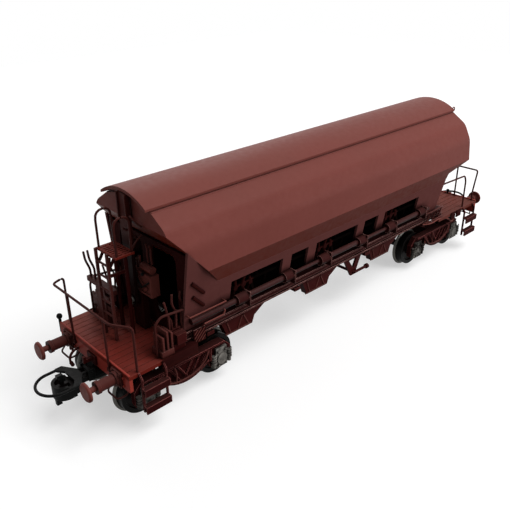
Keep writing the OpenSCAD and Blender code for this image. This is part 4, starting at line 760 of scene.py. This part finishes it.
# %% Plates and bolts
BOLT_EDGE = 0.06
FACING_Y, FACING_X = (math.pi / 2, 0, 0), (0, math.pi / 2, 0)


def bevelled(edge, segments):
    """The active piece, with a bevel in mm along all its edges."""
    bpy.ops.object.mode_set(mode="EDIT")
    bpy.ops.mesh.select_all(action="SELECT")
    bpy.ops.mesh.bevel(offset=edge * MM, segments=segments, affect="EDGES")
    bpy.ops.object.mode_set(mode="OBJECT")
    return bpy.context.object


def plate(x, y, z, edge, tilt=0.0):
    """A plate with bevelled edges. Each of x, y and z is a low and a high value in mm."""
    spans = [sorted(pair) for pair in (x, y, z)]
    middle = [(low + high) / 2 * MM for low, high in spans]
    put_down()
    bpy.ops.mesh.primitive_cube_add(size=1, location=middle, rotation=(tilt, 0, 0))
    bpy.context.object.scale = [(high - low) * MM for low, high in spans]
    bpy.ops.object.transform_apply(location=False, rotation=False, scale=True)
    return bevelled(edge, segments=2)


def side_plate(side, x, y, z, edge):
    """A plate whose place is given for the left side."""
    return plate(x, [side * v for v in y], z, edge)


def bolt(wide, high, turn):
    """A six-sided bolt head at the origin, in mm. Half of it will be sunk."""
    put_down()
    bpy.ops.mesh.primitive_cylinder_add(
        vertices=6, radius=wide / 2 * MM, depth=high * MM, rotation=turn)
    return bevelled(BOLT_EDGE, segments=1)


print("bolt edges:", BOLT_EDGE, "mm")

# %% Finishing a piece
WELD = 0.001 * MM
SMOOTH_BELOW = math.radians(40)


def keep(name, piece, finish, body="car"):
    """The finished piece: its place goes into its mesh, and it rides on a body."""
    pick_up(piece)
    bpy.ops.object.transform_apply(location=True, rotation=True, scale=True)
    bpy.ops.object.mode_set(mode="EDIT")
    bpy.ops.mesh.select_all(action="SELECT")
    bpy.ops.mesh.remove_doubles(threshold=WELD)
    bpy.ops.mesh.normals_make_consistent(inside=False)
    bpy.ops.object.mode_set(mode="OBJECT")
    bpy.ops.object.shade_smooth_by_angle(angle=SMOOTH_BELOW)
    piece.name = piece.data.name = name
    piece.data.materials.clear()
    piece.data.materials.append(finish)
    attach(piece, body)
    print("made", name, "with", len(piece.data.polygons), "faces, on", body)


print("edges below", round(math.degrees(SMOOTH_BELOW)), "degrees are smooth")

# %% [markdown]
# ## Behind the windows
# The long windows in the lower side walls show the discharge gear: cranks with
# round bosses in front of the sheets on which the load slides out. Sheets and
# cranks are painted near black and dark brown for the shade inside the body.
# The cranks could be a picture on the sheet, but real wires keep their depth
# when the car turns. One set of routes serves all six windows, and one sheet
# leans behind each side.

# %% Sheets behind the windows
SIDES = (-1, 1)
SHEET_X, SHEET_Z, SHEET_EDGE = (-51.4, 45.2), (21.2, 21.5), 0.05
SHEET_Y, SHEET_HALF, SHEET_LEAN = 9.3, 6.1, math.radians(64)


def name_of(side):
    """The right side of the car is the one at -Y."""
    return "right" if side < 0 else "left"


# Painted shade: the sheets are near black for the shade inside the body.
for side in SIDES:
    sheet_y = (side * SHEET_Y - SHEET_HALF, side * SHEET_Y + SHEET_HALF)
    sheet = plate(SHEET_X, sheet_y, SHEET_Z, SHEET_EDGE, side * SHEET_LEAN)
    keep("hopper_slope_" + name_of(side), sheet, inner_black)

# %% Cranks behind the windows
WALL_FOOT, WALL_FOOT_Z, WALL_LEAN = 12.2, 17.5, 0.172
BAYS = (-31.4, -2.7, 26.0)
CRANK_DEPTH, BOSS_DEPTHS = -1.1, (-1.8, -0.7)
CRANKS = (
    (((-6.3, 18.2), (-6.6, 20.0), (-5.9, 22.2), (-6.2, 24.6)), 0.7),
    (((-3.4, 18.0), (-3.0, 20.4), (-3.8, 22.4), (-3.3, 25.0)), 0.8),
    (((-1.5, 18.2), (-1.9, 20.0), (-1.2, 21.8), (-1.6, 24.0)), 0.7),
    (((-6.6, 22.4), (-0.4, 22.9)), 0.55),
    (((-4.2, 20.2), (-0.6, 19.8)), 0.5),
)
BOSSES = ((-6.0, 22.4, 1.3), (-3.6, 22.6, 1.5), (-1.3, 22.2, 1.2), (-3.2, 20.2, 1.2))


def wall_y(z, proud=0.0):
    """How far the wall's outer face is from the middle at height z, in mm."""
    return WALL_FOOT + WALL_LEAN * (z - WALL_FOOT_Z) + proud


def crank_set(side, bay):
    """The cranks and bosses of one window."""
    def at(x, z, depth):
        return (bay + x, wall_y(z, depth), z)
    rods = [side_wire(side, [at(x, z, CRANK_DEPTH) for x, z in route], thick)
            for route, thick in CRANKS]
    bosses = [side_wire(side, [at(x, z, depth) for depth in BOSS_DEPTHS], wide)
              for x, z, wide in BOSSES]
    return joined(rods + bosses)


# Painted shade: the cranks are a dark brown, as they stand in the window's shade.
for side in SIDES:
    sets = [crank_set(side, bay) for bay in BAYS]
    keep("window_cranks_" + name_of(side), joined(sets), shadow_brown)

# %% [markdown]
# ## The seam under the roof
# A seal lies on the tank just below each long edge of the roof, and a thin lip
# runs along the tank's rim inside it, so no light shows through. Both are
# straight strands, painted over with the tank, and stay on it when the roof
# swings. Shade in the narrow gap is what makes the seam read as a dark line.

# %% Roof seals
SEAL_ENDS = (-55.8, 57.4)
SEAL_AND_LIP = ((8.3, 45.12, 0.44), (7.98, 45.42, 0.4))

seals = [side_wire(side, [(x, y, z) for x in SEAL_ENDS], thick)
         for side in SIDES for y, z, thick in SEAL_AND_LIP]
keep("roof_seals", joined(seals), oxide_red)

# %% [markdown]
# ## Rods, bars and plates on the side walls
# Two thin control rods run beside the near discharge tube, and two slanted bars
# stiffen the wall above it. The bars are a dark brown of painted shade, as the
# shade beside a rib would be. They are wires whose ends meet the wall or the
# sill, so that none floats. A thin upright plate stands at both ends of each
# tube's hub, its edges pale with wear and painted highlight.

# %% Rods, bars and hub plates
ROD_THICK, BAR_THICK = 0.4, 0.9
CONTROL_RODS = (
    ((-52.3, 12.8, 21.8), (-52.3, 14.3, 21.8), (-42.2, 14.3, 21.8), (-42.2, 12.8, 21.8)),
    ((-48.4, 13.2, 17.5), (-48.4, 14.3, 18.7), (-43.0, 14.3, 18.7), (-42.5, 14.3, 19.6),
     (-42.5, 13.4, 20.2)),
)
WALL_BARS = (((-51.4, 29.8), (-47.8, 26.0)), ((-50.9, 26.1), (-47.6, 22.6)))
HUB_ENDS, HUB_THICK, HUB_EDGE = (-3.9, 11.2), 0.35, 0.08
HUB_Y, HUB_Z = (12.6, 14.85), (17.7, 21.5)

for side in SIDES:
    rods = [side_wire(side, route, ROD_THICK, "VECTOR") for route in CONTROL_RODS]
    keep("control_rods_" + name_of(side), joined(rods), oxide_red)
    # Painted shade: the bars are dark brown, standing for the shade along a rib.
    bars = [side_wire(side, [(x, wall_y(z), z) for x, z in bar], BAR_THICK) for bar in WALL_BARS]
    keep("wall_bars_" + name_of(side), joined(bars), shadow_brown)
    hubs = [side_plate(side, (x, x + HUB_THICK), HUB_Y, HUB_Z, HUB_EDGE)
            for x in (bay + end for bay in BAYS for end in HUB_ENDS)]
    keep("hub_plates_" + name_of(side), joined(hubs), sill_red)

# %% [markdown]
# ## Gear at the platform
# The hand gear at the edge of the deck stands in upright fins on a base, with
# tall bent levers. The fins are plates and the levers wires, since at this size
# a lever is no thicker than a pin. The levers end below the roof's arms, which
# need the room above them to swing.

# %% Fins and levers
FIN_THICK, FIN_FOOT, FIN_Y, FIN_EDGE = 0.5, 14.8, (10.6, 14.1), 0.1
FINS = ((-59.6, 19.8), (-58.5, 20.9), (-57.4, 20.3))
FIN_BASE = ((-60.0, -56.8), (10.3, 14.2), (14.7, 16.4), 0.15)
LEVER_Y, LEVER_THICK = 12, 0.5
LEVERS = (
    ((-56.3, 19.2), (-56.2, 22.0), (-56.5, 23.6), (-57.1, 26.6)),
    ((-54.5, 19.2), (-54.4, 23.4), (-55.1, 25.4), (-55.0, 27.7)),
    ((-52.9, 17.4), (-52.8, 22.8), (-52.3, 24.3), (-53.0, 26.2), (-52.7, 27.7)),
)

for side in SIDES:
    fins = [side_plate(side, (x, x + FIN_THICK), FIN_Y, (FIN_FOOT, top), FIN_EDGE)
            for x, top in FINS]
    fins.append(side_plate(side, *FIN_BASE))
    keep("gear_fins_" + name_of(side), joined(fins), lever_red)
    levers = [side_wire(side, [(x, LEVER_Y, z) for x, z in route], LEVER_THICK)
              for route in LEVERS]
    keep("gear_levers_" + name_of(side), joined(levers), lever_red)

# %% [markdown]
# ## Under the edge of the decks
# Below the near deck hangs a dark valve box. Its front is inset and pushed in,
# as a moulded lid is, which is quicker than a second piece for the lid. Thin
# skirts close the sides of the decks, and a thin plate lies on the near deck
# under the levers. Both are a dark brown of painted shade, and the plate
# darkens the deck there.

# %% Valve boxes
VALVE_BOX = ((-59.4, -52.8), (12.3, 14.2), (11.2, 13.95), 0.2)
LID_MARGIN, LID_DEPTH = 0.45, 0.3
SQUARE_ON = 0.99


def face_outward(piece, direction):
    """Selects only the faces that look along direction."""
    for face in piece.data.polygons:
        face.select = face.normal.dot(Vector(direction)) > SQUARE_ON


for side in SIDES:
    box = side_plate(side, *VALVE_BOX)
    face_outward(box, (0, side, 0))
    pick_up(box)
    bpy.ops.object.mode_set(mode="EDIT")
    bpy.ops.mesh.select_mode(type="FACE")
    bpy.ops.mesh.inset(thickness=LID_MARGIN * MM, depth=-LID_DEPTH * MM)
    bpy.ops.object.mode_set(mode="OBJECT")
    keep("valve_box_" + name_of(side), box, bogie_brown)

# %% Deck skirts
SKIRTS = ((-60.5, -50.9), (52.8, 55.4), (56.0, 58.8))
SKIRT_Y, SKIRT_Z, SKIRT_EDGE = (14.42, 14.75), (12.6, 15.0), 0.12
LEVER_FLOOR = ((-57.4, -50.95), (11.2, 14.5), (14.7, 14.98), 0.08)

# Painted shade: the skirts and the plate on the deck are dark brown, and the plate darkens the
# deck under the levers.
for side in SIDES:
    skirts = [side_plate(side, span, SKIRT_Y, SKIRT_Z, SKIRT_EDGE) for span in SKIRTS]
    skirts.append(side_plate(side, *LEVER_FLOOR))
    keep("deck_skirt_" + name_of(side), joined(skirts), shadow_brown)

# %% [markdown]
# ## Rods at the ladder and handles on the control box
# Between the upper platform and the tank run three thin stays. Two handles
# stand on the control box, and a black latch with a button is bent in a V
# across its front. All are wires: bent ones with soft corners, and the latch
# with sharp ones.

# %% Stays, handles and latch
STAY_THICK = 0.4
STAYS = (
    ((-58.1, -0.6, 40.2), (-56.6, -0.9, 39.0), (-55.2, -1.0, 37.0)),
    ((-58.3, -3.6, 36.2), (-57.0, -3.4, 37.6), (-55.3, -3.2, 38.6)),
    ((-58.2, -4.0, 44.0), (-57.2, -4.6, 42.4), (-56.2, -5.0, 41.2)),
)
HANDLE = ((-54.8, 0.0, 32.3), (-55.0, -0.1, 34.2), (-54.7, 0.3, 35.6), (-55.0, 0.2, 36.6))
HANDLES_Y, HANDLE_THICK = (-4.1, -5.4), 0.45
LATCH = ((-55.8, 0.2, 28.5), (-56.1, -0.2, 28.2), (-56.1, -2.5, 26.0), (-56.1, -5.0, 27.9),
         (-55.8, -5.2, 28.1))
BUTTON = ((-55.7, -3.1, 29.5), (-56.2, -3.1, 29.5))
LATCH_THICK, BUTTON_WIDE = 0.42, 0.8

stays = [wire(route, STAY_THICK) for route in STAYS]
keep("platform_stays", joined(stays), lever_red)
handles = [wire([(x, y + dy, z) for x, dy, z in HANDLE], HANDLE_THICK) for y in HANDLES_Y]
keep("control_handles", joined(handles), lever_red)
latch = [wire(LATCH, LATCH_THICK, "VECTOR"), wire(BUTTON, BUTTON_WIDE)]
keep("control_latch", joined(latch), coupler_black)

# %% [markdown]
# ## Running gear
# Each axle box hangs between two coil springs, its lid is held by four bolts,
# and a brake pipe follows the belly of the bogie's side frame. A spring is a
# helix of wire. It is modelled once and copied to all the boxes of a bogie,
# and so is a bolt. The pieces ride on the bogie, so they swivel with it.

# %% A coil spring
STEPS_A_TURN = 10
SPRING = {"radius": 0.6, "low": 4.9, "high": 7.7, "turns": 4, "thick": 0.28}


def coil(radius, low, high, turns, thick):
    """A coil spring that stands at the origin."""
    steps = turns * STEPS_A_TURN
    points = []
    for step in range(steps + 1):
        angle = 2 * math.pi * step / STEPS_A_TURN
        points.append((radius * math.cos(angle), radius * math.sin(angle),
                       low + (high - low) * step / steps))
    return wire(points, thick)


print("springs of", SPRING["turns"], "turns")

# %% Springs, lid bolts and brake pipes
PIVOTS = {"near": -53.0, "far": 49.0}
WHEELBASE, AXLE_Z = 20.7, 5.9
SPRING_OUT, SPRING_Y = 2.3, 12.55
LID_BOLT_WIDE, LID_BOLT_HIGH, BOX_FACE = 0.55, 0.5, 12.85
LID_BOLTS = [(dx, dz) for dx in (-1.1, 1.1) for dz in (-1.6, 2.1)]
BRAKE_PIPES = (
    (((-7.4, 12.5, 9.6), (-6.6, 13.0, 8.4), (-4.6, 13.0, 6.6), (-1.5, 13.05, 6.0),
      (1.8, 13.05, 6.2), (4.4, 13.0, 7.4), (5.8, 13.0, 9.0), (6.6, 12.5, 9.8)), 0.42),
    (((-3.4, 12.9, 10.2), (-2.9, 12.9, 8.2), (-3.2, 12.9, 5.6)), 0.45),
)

for end, pivot in PIVOTS.items():
    bogie = "bogie_" + end
    axles = (pivot - WHEELBASE / 2, pivot + WHEELBASE / 2)
    springs = copied(coil(**SPRING), [(axle + out * SPRING_OUT, side * SPRING_Y, 0)
                                      for side in SIDES for axle in axles for out in SIDES])
    keep("box_springs_" + end, springs, box_grey, bogie)
    lid_heads = copied(bolt(LID_BOLT_WIDE, LID_BOLT_HIGH, FACING_Y),
                       [(axle + dx, side * BOX_FACE, AXLE_Z + dz)
                        for side in SIDES for axle in axles for dx, dz in LID_BOLTS])
    keep("lid_bolts_" + end, lid_heads, box_grey, bogie)
    pipes = [side_wire(side, [(pivot + x, y, z) for x, y, z in route], thick)
             for route, thick in BRAKE_PIPES for side in SIDES]
    keep("brake_pipes_" + end, joined(pipes), lever_red, bogie)

# %% [markdown]
# ## Chutes and sills
# The front of each discharge chute is stiffened by three slanted ribs and a rim
# along its lower edge. Ahead of the first chute the sill carries a plate in a
# dark brown of painted shade, with slanting lines. At the far end it carries a
# small lattice, from which a pipe runs on under the deck. Lines could be drawn
# in a material, but wires half sunk in the plate catch the light as mouldings do.

# %% Chute ribs
CHUTES, CHUTE_FACE = (-34.9, -7.26, 20.38), 12.1
RIBS = ((-5.4, -4.4), (-0.6, -2.0), (-0.2, 1.4))
RIB_TOP, RIB_FOOT, RIB_THICK = 14.3, 11.2, 0.45
RIM, RIM_Z, RIM_THICK = (-5.9, 2.2), 11.05, 0.4

for side in SIDES:
    ribs = []
    for middle in CHUTES:
        for top, foot in RIBS:
            ribs.append(side_wire(side, [(middle + top, CHUTE_FACE, RIB_TOP),
                                         (middle + foot, CHUTE_FACE, RIB_FOOT)], RIB_THICK))
        ribs.append(side_wire(side, [(middle + x, CHUTE_FACE, RIM_Z) for x in RIM], RIM_THICK))
    keep("chute_ribs_" + name_of(side), joined(ribs), lever_red)

# %% Hatched plates
HATCH_FACE, HATCH_THICK = 13.62, 0.2
HATCH_PLATE = ((-51.1, -47.7), (13.3, HATCH_FACE), (14.1, 17.55), 0.1)
HATCH_LINES = ((-50.9, 16.4, 1.0), (-50.9, 15.4, 2.0), (-50.9, 14.4, 3.0), (-49.9, 14.4, 2.0),
               (-48.9, 14.4, 1.0))

for side in SIDES:
    # Painted shade: the plate is dark brown, and the lighter lines stand out on it.
    keep("hatch_plate_" + name_of(side), side_plate(side, *HATCH_PLATE), shadow_brown)
    hatch = [side_wire(side, [(x, HATCH_FACE, z), (x + run, HATCH_FACE, z + run)], HATCH_THICK)
             for x, z, run in HATCH_LINES]
    keep("hatch_lines_" + name_of(side), joined(hatch), oxide_red)

# %% Lattice and pipe
LATTICE_FACE, ZIGZAG_THICK, CHORD_THICK = 13.6, 0.4, 0.45
ZIGZAG = ((40.0, 15.4), (41.6, 18.2), (43.2, 15.4), (44.8, 18.2), (46.4, 15.4), (48.0, 18.2))
CHORDS = (
    ((39.4, 13.2, 18.3), (39.8, 13.6, 18.3), (48.6, 13.6, 18.3), (48.9, 13.2, 17.9)),
    ((39.4, 13.2, 15.3), (39.8, 13.6, 15.3), (48.6, 13.6, 15.3), (48.9, 13.2, 15.3)),
)
DECK_PIPE_THICK = 0.5
DECK_PIPE = (
    (38.6, 13.2, 15.0), (41.4, 13.9, 14.6), (47.2, 14.1, 14.7), (52.4, 14.1, 13.0),
    (54.4, 14.0, 11.6), (56.6, 13.6, 11.8), (57.6, 13.2, 13.95),
)

for side in SIDES:
    lattice = [side_wire(side, [(x, LATTICE_FACE, z) for x, z in ZIGZAG], ZIGZAG_THICK, "VECTOR")]
    lattice += [side_wire(side, route, CHORD_THICK) for route in CHORDS]
    keep("sill_lattice_" + name_of(side), joined(lattice), lever_red)
    pipe = side_wire(side, DECK_PIPE, DECK_PIPE_THICK)
    keep("deck_pipe_" + name_of(side), pipe, oxide_red)

# %% [markdown]
# ## Headstocks and deck edges
# Four bolts hold each buffer to its headstock, a thin angle closes the outer
# edge of both decks, a knob stands on the far one, and a short rigid air pipe
# hangs beside each draw hook. The pipe keeps clear of the wheels, which come
# close when a bogie swivels.

# %% Buffer bolts and deck edges
ENDS = (-1, 1)
BUFFER_Y, BUFFER_Z, BEAM_X = 10.05, 12.7, 68.6
BEAM_BOLT_WIDE, BEAM_BOLT_HIGH = 0.6, 0.6
BEAM_BOLTS = [(dy, dz) for dy in (-2.2, 2.2) for dz in (-1.1, 0.9)]
ANGLE_X, ANGLE_Y, ANGLE_Z, ANGLE_EDGE = (68.15, 68.6), (-14.3, 14.3), (14.75, 15.1), 0.1

beam_heads = copied(bolt(BEAM_BOLT_WIDE, BEAM_BOLT_HIGH, FACING_X),
                    [(end * BEAM_X, side * BUFFER_Y + dy, BUFFER_Z + dz)
                     for end in ENDS for side in SIDES for dy, dz in BEAM_BOLTS])
keep("beam_bolts", beam_heads, beam_red)
angles = [plate([end * x for x in ANGLE_X], ANGLE_Y, ANGLE_Z, ANGLE_EDGE) for end in ENDS]
keep("deck_edges", joined(angles), beam_red)

# %% Knob and air pipes
KNOB = (
    (((68.0, -4.1, 14.7), (68.0, -4.1, 15.7)), 0.5),
    (((68.0, -4.1, 15.6), (68.0, -4.1, 16.3)), 1.0),
)
AIR_PIPE = (
    (((68.4, 6.4, 11.8), (69.7, 6.4, 11.7), (70.8, 6.4, 10.8), (71.1, 6.4, 9.6),
      (70.9, 6.4, 8.7)), 0.6),
    (((71.0, 6.4, 9.0), (70.6, 6.4, 8.0)), 0.9),
)

knob = [wire(route, thick) for route, thick in KNOB]
keep("far_knob", joined(knob), coupler_black)
air_pipes = [wire([(end * x, -end * y, z) for x, y, z in route], thick)
             for end in ENDS for route, thick in AIR_PIPE]
keep("air_pipes", joined(air_pipes), wire_brown)
